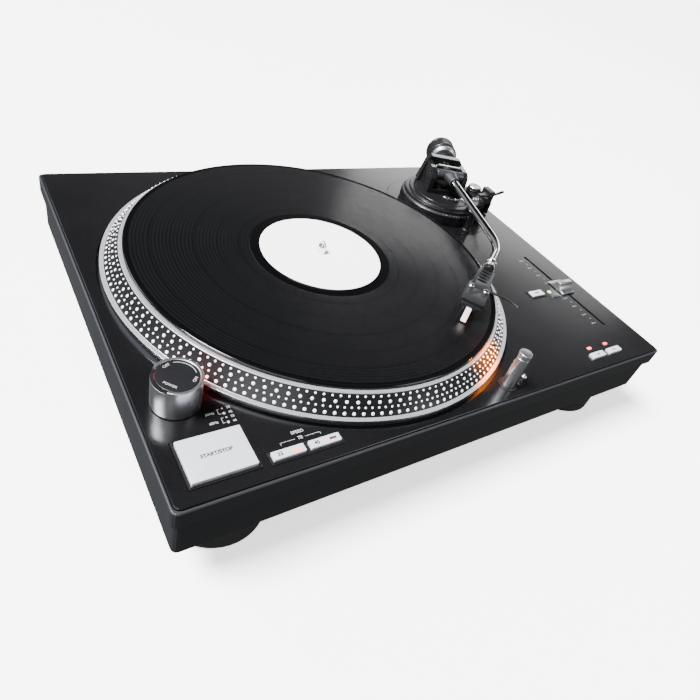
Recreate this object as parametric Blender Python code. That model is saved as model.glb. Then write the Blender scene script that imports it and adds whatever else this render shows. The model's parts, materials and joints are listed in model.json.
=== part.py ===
# Direct-drive turntable with an S-shaped tonearm, modelled in metres with +Z up.
# The origin is on the table under the middle of the cabinet: +X is the operator's right,
# -Y is the front edge, and the rubber feet stand at Z = 0.
import math

import bmesh
import bpy
from mathutils import Vector

MM = 0.001
GAP = 0.3 * MM          # clearance between pieces that touch
ROUND = 72              # facets on the largest turned pieces
BROAD = 48              # facets on the tonearm's base rings
MEDIUM = 32             # facets on knobs, rings and posts
SMALL = 16              # facets on pins and screws

# cabinet
BODY_WIDTH = 450.0 * MM
BODY_DEPTH = 352.0 * MM
BODY_HEIGHT = 47.0 * MM         # lower edge of the base to the face of the top panel
FOOT_HEIGHT = 34.0 * MM
FOOT_RADIUS = 35.0 * MM
FOOT_INSET_X = 46.0 * MM
FOOT_INSET_Y = 45.0 * MM
BAND_HEIGHT = 15.0 * MM         # upper band, panel face to the step
STEP_INSET = 2.6 * MM
WALL = 4.0 * MM
TRAY_WALL = 3.0 * MM
TRAY_FLOOR = 3.0 * MM
DECK_THICK = 3.0 * MM
PANEL_THICK = 3.0 * MM
PANEL_INSET = 2.0 * MM
PANEL_RAISE = 1.2 * MM
CORNER = 4.0 * MM

# platter, record and motor
PLATTER_FROM_LEFT = 177.6 * MM
PLATTER_FROM_FRONT = 174.6 * MM
PLATTER_RADIUS = 166.0 * MM
WELL_GAP = 2.5 * MM
FLANGE_WIDTH = 3.0 * MM
FLANGE_LOW = 1.0 * MM
FLANGE_TOP = 5.0 * MM
RIM_TOP = 17.2 * MM
RIM_SLOPE = 12.7 * MM         # from the flange's edge in to the rim
RIM_WIDTH = 3.1 * MM
PLATTER_FACE = 16.0 * MM
PLATTER_DISC = 5.0 * MM
SKIRT_WALL = 5.0 * MM
MAT_THICK = 1.2 * MM
RECORD_OVER_RIM = 0.3 * MM    # how far the record covers the rim
RECORD_THICK = 1.6 * MM
BEAD_WIDTH = 2.5 * MM
BEAD_RAISE = 0.3 * MM
LABEL_RADIUS = 50.0 * MM
LABEL_THICK = 0.3 * MM
SPINDLE_RADIUS = 3.6 * MM
SPINDLE_ABOVE_RECORD = 10.7 * MM
BORE_CLEAR = 0.3 * MM
HUB_RADIUS = 14.0 * MM
MAGNET_INNER = 42.0 * MM
MAGNET_OUTER = 74.0 * MM
MAGNET_HEIGHT = 8.0 * MM
STATOR_RADIUS = 88.0 * MM
MOTOR_HOLE = 80.0 * MM
STATOR_THICK = 3.0 * MM
COIL_COUNT = 12
COIL_RADIUS = 11.0 * MM
COIL_HEIGHT = 5.5 * MM
SLEEVE_RADIUS = 9.0 * MM
SLEEVE_DEPTH = 30.0 * MM

# power knob with the strobe lamp inside
KNOB_RADIUS = 14.9 * MM
KNOB_HEIGHT = 22.5 * MM
KNOB_WALL = 2.0 * MM
KNOB_AZIMUTH = math.radians(214.0)
CORE_RADIUS = 8.0 * MM
LENS_HEIGHT = 6.0 * MM
LENS_WIDTH = 7.0 * MM
NOTCH_AZIMUTH = math.radians(238.0)
KNOB_TURN = math.radians(60.0)

# push keys: width, depth, proud of the panel, centre from the left or right edge and from the front
START_W, START_D, START_PROUD = 38.8 * MM, 29.0 * MM, 3.0 * MM
START_FROM_LEFT, START_FROM_FRONT = 33.4 * MM, 27.1 * MM
SPEED_W, SPEED_D, SPEED_PROUD = 21.2 * MM, 5.8 * MM, 2.4 * MM
SPEED_33_FROM_LEFT = 72.2 * MM
SPEED_PITCH = 24.5 * MM
SPEED_FROM_FRONT = 14.3 * MM
RESET_W, RESET_D, RESET_PROUD = 16.3 * MM, 7.0 * MM, 2.0 * MM
RESET_FROM_RIGHT = 70.4 * MM
RANGE_W, RANGE_D, RANGE_PROUD = 17.0 * MM, 5.7 * MM, 2.0 * MM
RANGE_FROM_RIGHT = 78.6 * MM
RANGE_PITCH = 23.0 * MM
RANGE_FROM_FRONT = 14.7 * MM
KEY_CLEAR = 0.4 * MM
BEZEL_WALL = 1.4 * MM
BEZEL_RAISE = 1.0 * MM
KEY_SKIRT = 2.0 * MM
KEY_TRAVEL = 1.5 * MM
WINDOW_W, WINDOW_D, WINDOW_DEEP = 5.0 * MM, 1.8 * MM, 0.6 * MM
RESET_LED_FROM_RIGHT = 50.9 * MM
LED_RADIUS = 2.1 * MM
LED_PROUD = 0.4 * MM
LED_DEEP = 5.0 * MM
RANGE_LED_W, RANGE_LED_D = 5.0 * MM, 2.6 * MM
RANGE_LED_BEHIND = 9.4 * MM

# pitch fader
SLOT_FROM_RIGHT = 31.0 * MM
SLOT_FROM_FRONT = 99.3 * MM     # middle of the slot
SLOT_LENGTH = 111.0 * MM
SLOT_WIDTH = 3.0 * MM
CAP_W, CAP_D, CAP_H = 18.6 * MM, 20.8 * MM, 8.5 * MM
CAP_RIDGE = 5.6 * MM
CAP_OFFSET = 2.0 * MM
STEM_W, STEM_D = 1.6 * MM, 5.0 * MM
TRACK_W, TRACK_H = 14.0 * MM, 12.0 * MM

# pop-up target light and its release pin
LIGHT_AZIMUTH = math.radians(-63.3)
LIGHT_FROM_WELL = 10.8 * MM
LIGHT_RADIUS = 5.0 * MM
LIGHT_STUB = 6.0 * MM
SOCKET_WALL = 2.2 * MM
SOCKET_FLOOR = 2.0 * MM
PIN_OFFSET_X = 16.3 * MM
PIN_RADIUS = 2.4 * MM
PIN_PROUD = 5.0 * MM
PIN_STEM = 1.3 * MM

# tonearm
PIVOT_DISTANCE = 220.9 * MM
PIVOT_AZIMUTH = math.radians(23.1)
PIVOT_RISE = 36.5 * MM
EFFECTIVE_LENGTH = 236.0 * MM
PLATE_RADIUS = 58.2 * MM
PLATE_RAISE = 0.2 * MM
RING_RADIUS = 44.5 * MM
RING_INNER = 34.0 * MM
RING_HEIGHT = 12.6 * MM
BASE_FLANGE = 41.5 * MM
BASE_CAP = 37.0 * MM
FLANGE_STEP = 2.0 * MM
CAP_STEP = 1.7 * MM
YOKE_TURN = math.radians(22.0)      # the yoke's rear faces this far round from +Y
CHEEK_INNER = 15.5 * MM
CHEEK_WALL = 5.0 * MM
YOKE_FRONT = 6.0 * MM
YOKE_REAR = 27.0 * MM
REAR_WALL = 7.0 * MM
YOKE_FLOOR = 4.0 * MM
CHEEK_ABOVE = 5.0 * MM              # cheek top above the pivot axis
REAR_ABOVE = 9.5 * MM
YOKE_FLARE = 5.0 * MM
YAW_PIN = 5.0 * MM
YAW_PIN_LENGTH = 8.0 * MM
BARREL_RADIUS = 5.0 * MM
PIVOT_PIN = 1.2 * MM
TUBE_RADIUS = 3.9 * MM
TUBE_AZIMUTH = math.radians(18.5)   # straight run of the tube, from -Y towards -X
TUBE_STRAIGHT = 118.0 * MM
TUBE_BEND_RADIUS = 56.0 * MM
TUBE_BEND = math.radians(36.4)
TUBE_TAIL = 11.5 * MM
SOCKET_LENGTH = 18.0 * MM
STUB_TURN = math.radians(29.0)
STUB_RADIUS = 3.5 * MM
STUB_LENGTH = 66.0 * MM
WEIGHT_START = 45.5 * MM
WEIGHT_LENGTH = 20.5 * MM
WEIGHT_RADIUS = 16.0 * MM
DIAL_LENGTH = 6.0 * MM
DIAL_RADIUS = 14.5 * MM
COLLAR_LENGTH = 11.0 * MM
COLLAR_WALL = 1.2 * MM
SHELL_LENGTH = 56.0 * MM
SHELL_BACK = 13.2 * MM
SHELL_FRONT = 19.0 * MM
SHELL_SHOULDER = 27.0 * MM
SHELL_THICK = 2.6 * MM
SHELL_DROP = 1.0 * MM               # top of the headshell below the tube's centre line
SHELL_HOLES = 4
SCREW_SIDE = 6.2 * MM
SCREW_AT = 36.0 * MM
SCREW_HEAD = 2.6 * MM
CARTRIDGE_W, CARTRIDGE_D, CARTRIDGE_H = 15.6 * MM, 25.0 * MM, 9.5 * MM
CARTRIDGE_AT = 33.0 * MM
LIFT_LENGTH = 24.0 * MM
LIFT_RADIUS = 1.1 * MM

# anti-skate dial, cue lever and lift, arm rest
DIAL_FROM_PIVOT_X, DIAL_FROM_PIVOT_Y = 48.3 * MM, 0.7 * MM
SKATE_RADIUS = 7.5 * MM
SKATE_TOP = 22.0 * MM
CUE_X, CUE_Y = 45.7 * MM, -16.3 * MM
CUE_W, CUE_D, CUE_TOP = 8.0 * MM, 14.0 * MM, 27.0 * MM
LEVER_AXIS_RISE = 16.0 * MM
LEVER_LENGTH = 28.0 * MM
LEVER_ANGLE = math.radians(44.0)
LEVER_RADIUS = 1.5 * MM
LIFT_ARC_RADIUS = 42.0 * MM
LIFT_BAR = 1.5 * MM
LIFT_POST_RADIUS = 38.0 * MM
LIFT_POST_AZIMUTH = math.radians(-14.0)
LIFT_ARC_FROM, LIFT_ARC_TO = math.radians(-17.0), math.radians(44.0)
REST_FORWARD = 51.3 * MM
REST_RADIUS = 5.0 * MM
PARK_TURN = math.radians(18.3)

# derived levels, all from the table top
PANEL = FOOT_HEIGHT + BODY_HEIGHT
PANEL_LOW = PANEL - PANEL_THICK
DECK_TOP = PANEL_LOW - GAP
DECK_LOW = DECK_TOP - DECK_THICK
BAND_LOW = PANEL - BAND_HEIGHT
TRAY_TOP = BAND_LOW - GAP
FLOOR = FOOT_HEIGHT + TRAY_FLOOR
HALF_W = BODY_WIDTH / 2
HALF_D = BODY_DEPTH / 2
PLATTER_X = -HALF_W + PLATTER_FROM_LEFT
PLATTER_Y = -HALF_D + PLATTER_FROM_FRONT
WELL_RADIUS = PLATTER_RADIUS + WELL_GAP
RIM_OUTER = PLATTER_RADIUS - RIM_SLOPE
RIM_INNER = RIM_OUTER - RIM_WIDTH
RECORD_RADIUS = RIM_INNER + RECORD_OVER_RIM
PIVOT_X = PLATTER_X + PIVOT_DISTANCE * math.cos(PIVOT_AZIMUTH)
PIVOT_Y = PLATTER_Y + PIVOT_DISTANCE * math.sin(PIVOT_AZIMUTH)
MAT_LOW = PANEL + PLATTER_FACE + GAP
RECORD_LOW = MAT_LOW + MAT_THICK + GAP
RECORD_TOP = RECORD_LOW + RECORD_THICK
LIGHT_RISE = PANEL - FLOOR - LIGHT_STUB - SOCKET_FLOOR - 3.4 * MM


def clear_scene():
    for obj in list(bpy.data.objects):
        bpy.data.objects.remove(obj, do_unlink=True)


def material(name, color, metallic, roughness):
    mat = bpy.data.materials.new(name)
    mat.use_nodes = True
    shader = mat.node_tree.nodes["Principled BSDF"]
    shader.inputs["Base Color"].default_value = (*color, 1.0)
    shader.inputs["Metallic"].default_value = metallic
    shader.inputs["Roughness"].default_value = roughness
    return mat


def link(name, data, mat, location=(0, 0, 0), turn=0.0, tip=(0, 0), parent=None):
    """Place an object: tip turns it about X and Y first, then turn swings it about Z."""
    obj = bpy.data.objects.new(name, data)
    bpy.context.scene.collection.objects.link(obj)
    obj.location = location
    obj.rotation_euler = (*tip, turn)
    if parent is not None:
        obj.parent = parent
    if mat is not None:
        data.materials.append(mat)
    return obj


def pivot(name, location, turn=0.0, parent=None):
    return link(name, None, None, location, turn, parent=parent)


def finish(name, bm, mat, **place):
    bmesh.ops.recalc_face_normals(bm, faces=bm.faces)
    mesh = bpy.data.meshes.new(name)
    bm.to_mesh(mesh)
    bm.free()
    mesh.shade_smooth()
    mesh.set_sharp_from_angle(angle=math.radians(32))
    return link(name, mesh, mat, **place)


def skin(bm, rings, closed=False):
    """Join rings of the same point count with quads and cap the two ends."""
    loops = [[bm.verts.new(p) for p in ring] for ring in rings]
    count = len(loops[0])
    pairs = list(zip(loops, loops[1:]))
    if closed:
        pairs.append((loops[-1], loops[0]))
    for low, high in pairs:
        for i in range(count):
            j = (i + 1) % count
            bm.faces.new((low[i], low[j], high[j], high[i]))
    if not closed:
        bm.faces.new(loops[0])
        bm.faces.new(loops[-1])


def prism(name, outline, axis, low, high, mat, **place):
    """Outline pushed along X ("x", points are y, z) or along Y ("y", points are x, z)."""
    if axis == "x":
        rings = [[(at, a, b) for a, b in outline] for at in (low, high)]
    else:
        rings = [[(a, at, b) for a, b in outline] for at in (low, high)]
    bm = bmesh.new()
    skin(bm, rings)
    return finish(name, bm, mat, **place)


def outline_rect(x0, x1, y0, y1, radius=0.0, steps=3):
    if radius <= 0:
        return [(x0, y0), (x1, y0), (x1, y1), (x0, y1)]
    points = []
    corners = ((x1 - radius, y0 + radius, -90), (x1 - radius, y1 - radius, 0),
               (x0 + radius, y1 - radius, 90), (x0 + radius, y0 + radius, 180))
    for cx, cy, start in corners:
        for i in range(steps + 1):
            a = math.radians(start + 90 * i / steps)
            points.append((cx + radius * math.cos(a), cy + radius * math.sin(a)))
    return points


def slab(name, levels, mat, **place):
    """Solid through (outline, z) levels."""
    bm = bmesh.new()
    skin(bm, [[(x, y, z) for x, y in outline] for outline, z in levels])
    return finish(name, bm, mat, **place)


def rounded_slab(name, x, y, half_w, half_d, z0, z1, radius, mat, chamfer=0.0, **place):
    def ring(inset):
        return outline_rect(x - half_w + inset, x + half_w - inset, y - half_d + inset,
                            y + half_d - inset, max(radius - inset, 0.0) if radius else 0.0)
    levels = [(ring(0), z0)]
    if chamfer:
        levels += [(ring(0), z1 - chamfer), (ring(chamfer), z1)]
    else:
        levels.append((ring(0), z1))
    return slab(name, levels, mat, **place)


def turned(name, profile, segments, mat, closed=False, **place):
    """Solid of revolution about local Z: an open profile starts and ends on the axis."""
    bm = bmesh.new()
    rows = []
    for r, z in profile:
        if r < 1e-7:
            rows.append([bm.verts.new((0, 0, z))])
        else:
            rows.append([bm.verts.new((r * math.cos(a), r * math.sin(a), z))
                         for a in (2 * math.pi * i / segments for i in range(segments))])
    pairs = list(zip(rows, rows[1:]))
    if closed:
        pairs.append((rows[-1], rows[0]))
    for low, high in pairs:
        for i in range(segments):
            j = (i + 1) % segments
            if len(low) == 1:
                bm.faces.new((low[0], high[j], high[i]))
            elif len(high) == 1:
                bm.faces.new((low[i], low[j], high[0]))
            else:
                bm.faces.new((low[i], low[j], high[j], high[i]))
    return finish(name, bm, mat, **place)


def cylinder(name, radius, z0, z1, segments, mat, chamfer=0.0, **place):
    profile = [(0, z0), (radius, z0), (radius, z1)]
    if chamfer:
        profile[2:] = [(radius, z1 - chamfer), (radius - chamfer, z1)]
    return turned(name, profile + [(0, z1)], segments, mat, **place)


def rod(name, points, radius, segments, mat, radii=None, **place):
    """Solid bar of round section along a path of points."""
    path = [Vector(p) for p in points]
    bm = bmesh.new()
    rings = []
    side = None
    for i, p in enumerate(path):
        ahead = path[min(i + 1, len(path) - 1)]
        behind = path[max(i - 1, 0)]
        along = (ahead - behind).normalized()
        if side is None:
            guide = Vector((0, 0, 1)) if abs(along.z) < 0.9 else Vector((1, 0, 0))
            side = along.cross(guide).normalized()
        else:
            side = (side - along * side.dot(along)).normalized()
        up = side.cross(along)
        r = radii[i] if radii else radius
        rings.append([p + (side * math.cos(a) + up * math.sin(a)) * r
                      for a in (2 * math.pi * k / segments for k in range(segments))])
    skin(bm, rings)
    return finish(name, bm, mat, **place)


def hide(tool):
    tool.hide_render = True
    tool.display_type = "WIRE"
    return tool


def combine(obj, tools, operation):
    for tool in tools:
        mod = obj.modifiers.new(operation.title(), "BOOLEAN")
        mod.operation = operation
        mod.solver = "EXACT"
        mod.object = hide(tool)
    return obj


def cut(obj, *tools):
    return combine(obj, tools, "DIFFERENCE")


def fuse(obj, *tools):
    return combine(obj, tools, "UNION")


def box_tool(name, x, y, half_w, half_d, z0, z1, radius=0.0, **place):
    return rounded_slab(name, x, y, half_w, half_d, z0, z1, radius, None, **place)


def hole_tool(name, x, y, radius, z0, z1, segments=SMALL, **place):
    return cylinder(name, radius, z0, z1, segments, None, location=(x, y, 0), **place)


clear_scene()
satin_black = material("satin black paint", (0.018, 0.019, 0.021), 0.3, 0.36)
base_black = material("black base rubber", (0.022, 0.022, 0.024), 0.0, 0.6)
plastic_black = material("black plastic", (0.012, 0.012, 0.013), 0.0, 0.4)
rubber = material("black rubber", (0.015, 0.015, 0.015), 0.0, 0.8)
silver = material("satin silver", (0.74, 0.75, 0.78), 0.9, 0.3)
chrome = material("chrome", (0.85, 0.86, 0.88), 1.0, 0.08)
gunmetal = material("gunmetal", (0.16, 0.165, 0.175), 0.8, 0.35)
vinyl = material("black vinyl", (0.006, 0.006, 0.007), 0.0, 0.18)
paper = material("white paper", (0.86, 0.86, 0.86), 0.0, 0.7)
felt = material("dark felt", (0.03, 0.032, 0.034), 0.0, 0.95)
red_lens = material("red lens", (0.8, 0.03, 0.02), 0.0, 0.2)
amber_lens = material("amber lens", (0.95, 0.42, 0.05), 0.0, 0.2)
green_lens = material("green lens", (0.6, 0.85, 0.05), 0.0, 0.2)
board_green = material("circuit board", (0.03, 0.16, 0.07), 0.0, 0.5)
steel = material("steel", (0.55, 0.56, 0.57), 0.9, 0.35)
magnet_grey = material("ferrite", (0.09, 0.09, 0.1), 0.0, 0.6)
bronze = material("dark bronze", (0.09, 0.05, 0.035), 0.7, 0.35)
stylus_grey = material("pale stylus body", (0.55, 0.53, 0.52), 0.0, 0.4)

# ---- places of the controls -------------------------------------------------
KNOB_DISTANCE = WELL_RADIUS + KNOB_RADIUS + GAP
KNOB_X = PLATTER_X + KNOB_DISTANCE * math.cos(KNOB_AZIMUTH)
KNOB_Y = PLATTER_Y + KNOB_DISTANCE * math.sin(KNOB_AZIMUTH)
LIGHT_X = PLATTER_X + (WELL_RADIUS + LIGHT_FROM_WELL) * math.cos(LIGHT_AZIMUTH)
LIGHT_Y = PLATTER_Y + (WELL_RADIUS + LIGHT_FROM_WELL) * math.sin(LIGHT_AZIMUTH)
PIN_X, PIN_Y = LIGHT_X + PIN_OFFSET_X, LIGHT_Y
START = (-HALF_W + START_FROM_LEFT, -HALF_D + START_FROM_FRONT)
SPEED_Y = -HALF_D + SPEED_FROM_FRONT
KEY_33 = (-HALF_W + SPEED_33_FROM_LEFT, SPEED_Y)
KEY_45 = (KEY_33[0] + SPEED_PITCH, SPEED_Y)
SLOT_X = HALF_W - SLOT_FROM_RIGHT
SLOT_Y = -HALF_D + SLOT_FROM_FRONT
RESET = (HALF_W - RESET_FROM_RIGHT, SLOT_Y)
RANGE_Y = -HALF_D + RANGE_FROM_FRONT
RANGE_LEFT = (HALF_W - RANGE_FROM_RIGHT, RANGE_Y)
RANGE_RIGHT = (RANGE_LEFT[0] + RANGE_PITCH, RANGE_Y)
RESET_LED = (HALF_W - RESET_LED_FROM_RIGHT, SLOT_Y)

# ---- cabinet ----------------------------------------------------------------
frame_top = PANEL - PANEL_RAISE
frame = slab("cabinet_frame", [
    (outline_rect(-HALF_W, HALF_W, -HALF_D, HALF_D, CORNER), BAND_LOW),
    (outline_rect(-HALF_W, HALF_W, -HALF_D, HALF_D, CORNER), frame_top - 0.8 * MM),
    (outline_rect(-HALF_W + 0.6 * MM, HALF_W - 0.6 * MM, -HALF_D + 0.6 * MM,
                  HALF_D - 0.6 * MM, CORNER - 0.6 * MM), frame_top)], satin_black)
panel_w = HALF_W - PANEL_INSET
panel_d = HALF_D - PANEL_INSET
panel = slab("top_panel", [
    (outline_rect(-panel_w, panel_w, -panel_d, panel_d, CORNER), PANEL_LOW),
    (outline_rect(-panel_w, panel_w, -panel_d, panel_d, CORNER), PANEL - 0.4 * MM),
    (outline_rect(-panel_w + 0.4 * MM, panel_w - 0.4 * MM, -panel_d + 0.4 * MM,
                  panel_d - 0.4 * MM, CORNER - 0.4 * MM), PANEL)], satin_black)
OVER = 5 * MM
cut(frame,
    box_tool("cut_frame_below", 0, 0, HALF_W - WALL, HALF_D - WALL, BAND_LOW - OVER, DECK_LOW, 2 * MM),
    box_tool("cut_frame_pocket", 0, 0, panel_w + GAP, panel_d + GAP, DECK_TOP, PANEL + OVER,
             CORNER + GAP),
    hole_tool("cut_frame_motor", PLATTER_X, PLATTER_Y, MOTOR_HOLE, DECK_LOW - OVER, DECK_TOP + OVER,
              MEDIUM))
cut(panel,
    hole_tool("cut_panel_well", PLATTER_X, PLATTER_Y, WELL_RADIUS, PANEL_LOW - OVER, PANEL + OVER,
              ROUND),
    hole_tool("cut_panel_arm", PIVOT_X, PIVOT_Y, PLATE_RADIUS + GAP, PANEL_LOW - OVER, PANEL + OVER,
              BROAD))


def opening(name, x, y, half_w, half_d, radius=0.0):
    """The same opening through the top panel and the deck under it."""
    for target, low, high in ((panel, PANEL_LOW, PANEL), (frame, DECK_LOW, DECK_TOP)):
        if radius:
            tool = hole_tool(f"cut_{name}_{target.name}", x, y, radius, low - OVER, high + OVER)
        else:
            tool = box_tool(f"cut_{name}_{target.name}", x, y, half_w, half_d, low - OVER, high + OVER)
        cut(target, tool)


bezel_pad = KEY_CLEAR + BEZEL_WALL + GAP
opening("start", *START, START_W / 2 + bezel_pad, START_D / 2 + bezel_pad)
speed_mid = (KEY_33[0] + KEY_45[0]) / 2
speed_half = (SPEED_PITCH + SPEED_W) / 2
opening("speed", speed_mid, SPEED_Y, speed_half + bezel_pad, SPEED_D / 2 + bezel_pad)
opening("reset", *RESET, RESET_W / 2 + bezel_pad, RESET_D / 2 + bezel_pad)
for label, place in (("left", RANGE_LEFT), ("right", RANGE_RIGHT)):
    opening(f"range_{label}", *place, RANGE_W / 2 + KEY_CLEAR, RANGE_D / 2 + KEY_CLEAR)
    opening(f"range_led_{label}", place[0], place[1] + RANGE_LED_BEHIND,
            RANGE_LED_W / 2 + GAP, RANGE_LED_D / 2 + GAP)
opening("reset_led", *RESET_LED, 0, 0, LED_RADIUS + GAP)
opening("core", KNOB_X, KNOB_Y, 0, 0, CORE_RADIUS + GAP)
opening("light", LIGHT_X, LIGHT_Y, 0, 0, LIGHT_RADIUS + GAP + SOCKET_WALL + GAP)
opening("pin", PIN_X, PIN_Y, 0, 0, PIN_STEM + GAP)
opening("slot", SLOT_X, SLOT_Y, SLOT_WIDTH / 2, SLOT_LENGTH / 2)
opening("arm_pin", PIVOT_X, PIVOT_Y, 0, 0, YAW_PIN + 4 * MM)

tray_w = HALF_W - STEP_INSET
tray_d = HALF_D - STEP_INSET
tray = slab("base_tray", [
    (outline_rect(-tray_w + 1 * MM, tray_w - 1 * MM, -tray_d + 1 * MM, tray_d - 1 * MM, CORNER - 1 * MM),
     FOOT_HEIGHT),
    (outline_rect(-tray_w, tray_w, -tray_d, tray_d, CORNER), FOOT_HEIGHT + 1 * MM),
    (outline_rect(-tray_w, tray_w, -tray_d, tray_d, CORNER), TRAY_TOP)], base_black)
cut(tray, box_tool("cut_tray_inside", 0, 0, tray_w - TRAY_WALL, tray_d - TRAY_WALL, FLOOR,
                   TRAY_TOP + OVER, 2 * MM))
INLET_X, INLET_Z = -HALF_W + 62 * MM, FLOOR + 13 * MM
INLET_W, INLET_H, INLET_D = 28 * MM, 20 * MM, 20 * MM
OUTPUT_X, OUTPUT_Z = HALF_W - 105 * MM, FLOOR + 13 * MM
OUTPUT_W, OUTPUT_H, OUTPUT_DEEP = 58 * MM, 19 * MM, 8 * MM
cut(tray,
    box_tool("cut_tray_inlet", INLET_X, tray_d, INLET_W / 2 + GAP, TRAY_WALL + 2 * MM,
             INLET_Z - INLET_H / 2 - GAP, INLET_Z + INLET_H / 2 + GAP),
    box_tool("cut_tray_output", OUTPUT_X, tray_d, OUTPUT_W / 2, TRAY_WALL + 2 * MM,
             OUTPUT_Z - OUTPUT_H / 2, OUTPUT_Z + OUTPUT_H / 2))

STUD_RADIUS = 4.0 * MM
foot_x = HALF_W - FOOT_INSET_X
foot_y = HALF_D - FOOT_INSET_Y
for name, sx, sy in (("front_left", -1, -1), ("front_right", 1, -1), ("rear_left", -1, 1),
                     ("rear_right", 1, 1)):
    cut(tray, hole_tool(f"cut_tray_{name}", sx * foot_x, sy * foot_y, STUD_RADIUS + GAP,
                        FOOT_HEIGHT - OVER, FLOOR + OVER))
    top = FOOT_HEIGHT - GAP
    turned(f"foot_{name}", [
        (0, 0), (FOOT_RADIUS - 3 * MM, 0), (FOOT_RADIUS, 3 * MM), (FOOT_RADIUS, top * 0.45),
        (FOOT_RADIUS - 2 * MM, top * 0.5), (FOOT_RADIUS - 2 * MM, top * 0.55),
        (FOOT_RADIUS, top * 0.6), (FOOT_RADIUS, top - 2 * MM), (FOOT_RADIUS - 2 * MM, top),
        (STUD_RADIUS, top), (STUD_RADIUS, FLOOR + 6 * MM), (0, FLOOR + 6 * MM)],
        MEDIUM, rubber, location=(sx * foot_x, sy * foot_y, 0))

# ---- motor, platter and record ------------------------------------------------
platter_axis = pivot("platter_axis", (PLATTER_X, PLATTER_Y, 0))
bore = SPINDLE_RADIUS + BORE_CLEAR
disc_low = PANEL + PLATTER_FACE - PLATTER_DISC
flange_in = PLATTER_RADIUS - FLANGE_WIDTH
skirt_in = flange_in - SKIRT_WALL
turned("platter", [
    (bore, disc_low), (skirt_in - 12 * MM, disc_low), (skirt_in, disc_low - 5 * MM),
    (skirt_in, PANEL + FLANGE_LOW), (PLATTER_RADIUS - 0.5 * MM, PANEL + FLANGE_LOW),
    (PLATTER_RADIUS, PANEL + FLANGE_LOW + 0.5 * MM), (PLATTER_RADIUS, PANEL + FLANGE_TOP - 0.4 * MM),
    (PLATTER_RADIUS - 0.4 * MM, PANEL + FLANGE_TOP), (flange_in, PANEL + FLANGE_TOP),
    (RIM_OUTER, PANEL + RIM_TOP), (RIM_INNER, PANEL + RIM_TOP), (RIM_INNER, PANEL + PLATTER_FACE),
    (bore, PANEL + PLATTER_FACE)], ROUND, silver, closed=True, parent=platter_axis)
hub_top = disc_low - GAP
hub_low = hub_top - 2.5 * MM
spindle_top = RECORD_TOP + SPINDLE_ABOVE_RECORD
sleeve_top = hub_low - 0.8 * MM
sleeve_low = DECK_LOW - SLEEVE_DEPTH
turned("spindle", [
    (0, sleeve_low + 4 * MM), (SPINDLE_RADIUS, sleeve_low + 4 * MM), (SPINDLE_RADIUS, hub_low),
    (HUB_RADIUS, hub_low), (HUB_RADIUS, hub_top), (SPINDLE_RADIUS, hub_top),
    (SPINDLE_RADIUS, spindle_top - 4 * MM), (1.2 * MM, spindle_top - 0.6 * MM),
    (0, spindle_top)], MEDIUM, chrome, parent=platter_axis)
magnet_top = disc_low - GAP
turned("rotor_magnet", [
    (MAGNET_INNER, magnet_top - MAGNET_HEIGHT), (MAGNET_OUTER, magnet_top - MAGNET_HEIGHT),
    (MAGNET_OUTER, magnet_top), (MAGNET_INNER, magnet_top)], MEDIUM, magnet_grey, closed=True,
    parent=platter_axis)
mat_radius = RIM_INNER - 1.2 * MM
turned("slipmat", [(bore, MAT_LOW), (mat_radius, MAT_LOW), (mat_radius, MAT_LOW + MAT_THICK),
                   (bore, MAT_LOW + MAT_THICK)], ROUND, felt, closed=True, parent=platter_axis)
record_axis = pivot("record_axis", (0, 0, RECORD_LOW), parent=platter_axis)
turned("record", [
    (bore, 0), (RECORD_RADIUS - 0.5 * MM, 0), (RECORD_RADIUS, 0.5 * MM),
    (RECORD_RADIUS, RECORD_THICK + BEAD_RAISE - 0.5 * MM),
    (RECORD_RADIUS - 0.5 * MM, RECORD_THICK + BEAD_RAISE),
    (RECORD_RADIUS - BEAD_WIDTH, RECORD_THICK), (bore, RECORD_THICK)],
    ROUND, vinyl, closed=True, parent=record_axis)
turned("record_label", [
    (bore, RECORD_THICK + GAP), (LABEL_RADIUS, RECORD_THICK + GAP),
    (LABEL_RADIUS, RECORD_THICK + GAP + LABEL_THICK), (bore, RECORD_THICK + GAP + LABEL_THICK)],
    BROAD, paper, closed=True, parent=record_axis)

stator_top = DECK_LOW - GAP
stator_low = stator_top - STATOR_THICK
stator = turned("motor_stator", [
    (0, sleeve_low), (SLEEVE_RADIUS, sleeve_low), (SLEEVE_RADIUS, stator_low),
    (STATOR_RADIUS, stator_low), (STATOR_RADIUS, stator_top), (SLEEVE_RADIUS, stator_top),
    (SLEEVE_RADIUS, sleeve_top), (bore, sleeve_top), (bore, sleeve_low + 2 * MM),
    (0, sleeve_low + 2 * MM)], MEDIUM, steel, location=(PLATTER_X, PLATTER_Y, 0))
coils = bmesh.new()
coil_ring = (MAGNET_INNER + MAGNET_OUTER) / 2
for i in range(COIL_COUNT):
    a = 2 * math.pi * i / COIL_COUNT
    rings = []
    for z in (stator_top - 1 * MM, stator_top + COIL_HEIGHT):
        rings.append([(coil_ring * math.cos(a) + COIL_RADIUS * math.cos(t),
                       coil_ring * math.sin(a) + COIL_RADIUS * math.sin(t), z)
                      for t in (2 * math.pi * k / 12 for k in range(12))])
    skin(coils, rings)
fuse(stator, finish("tool_coils", coils, None, location=(PLATTER_X, PLATTER_Y, 0)))

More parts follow.
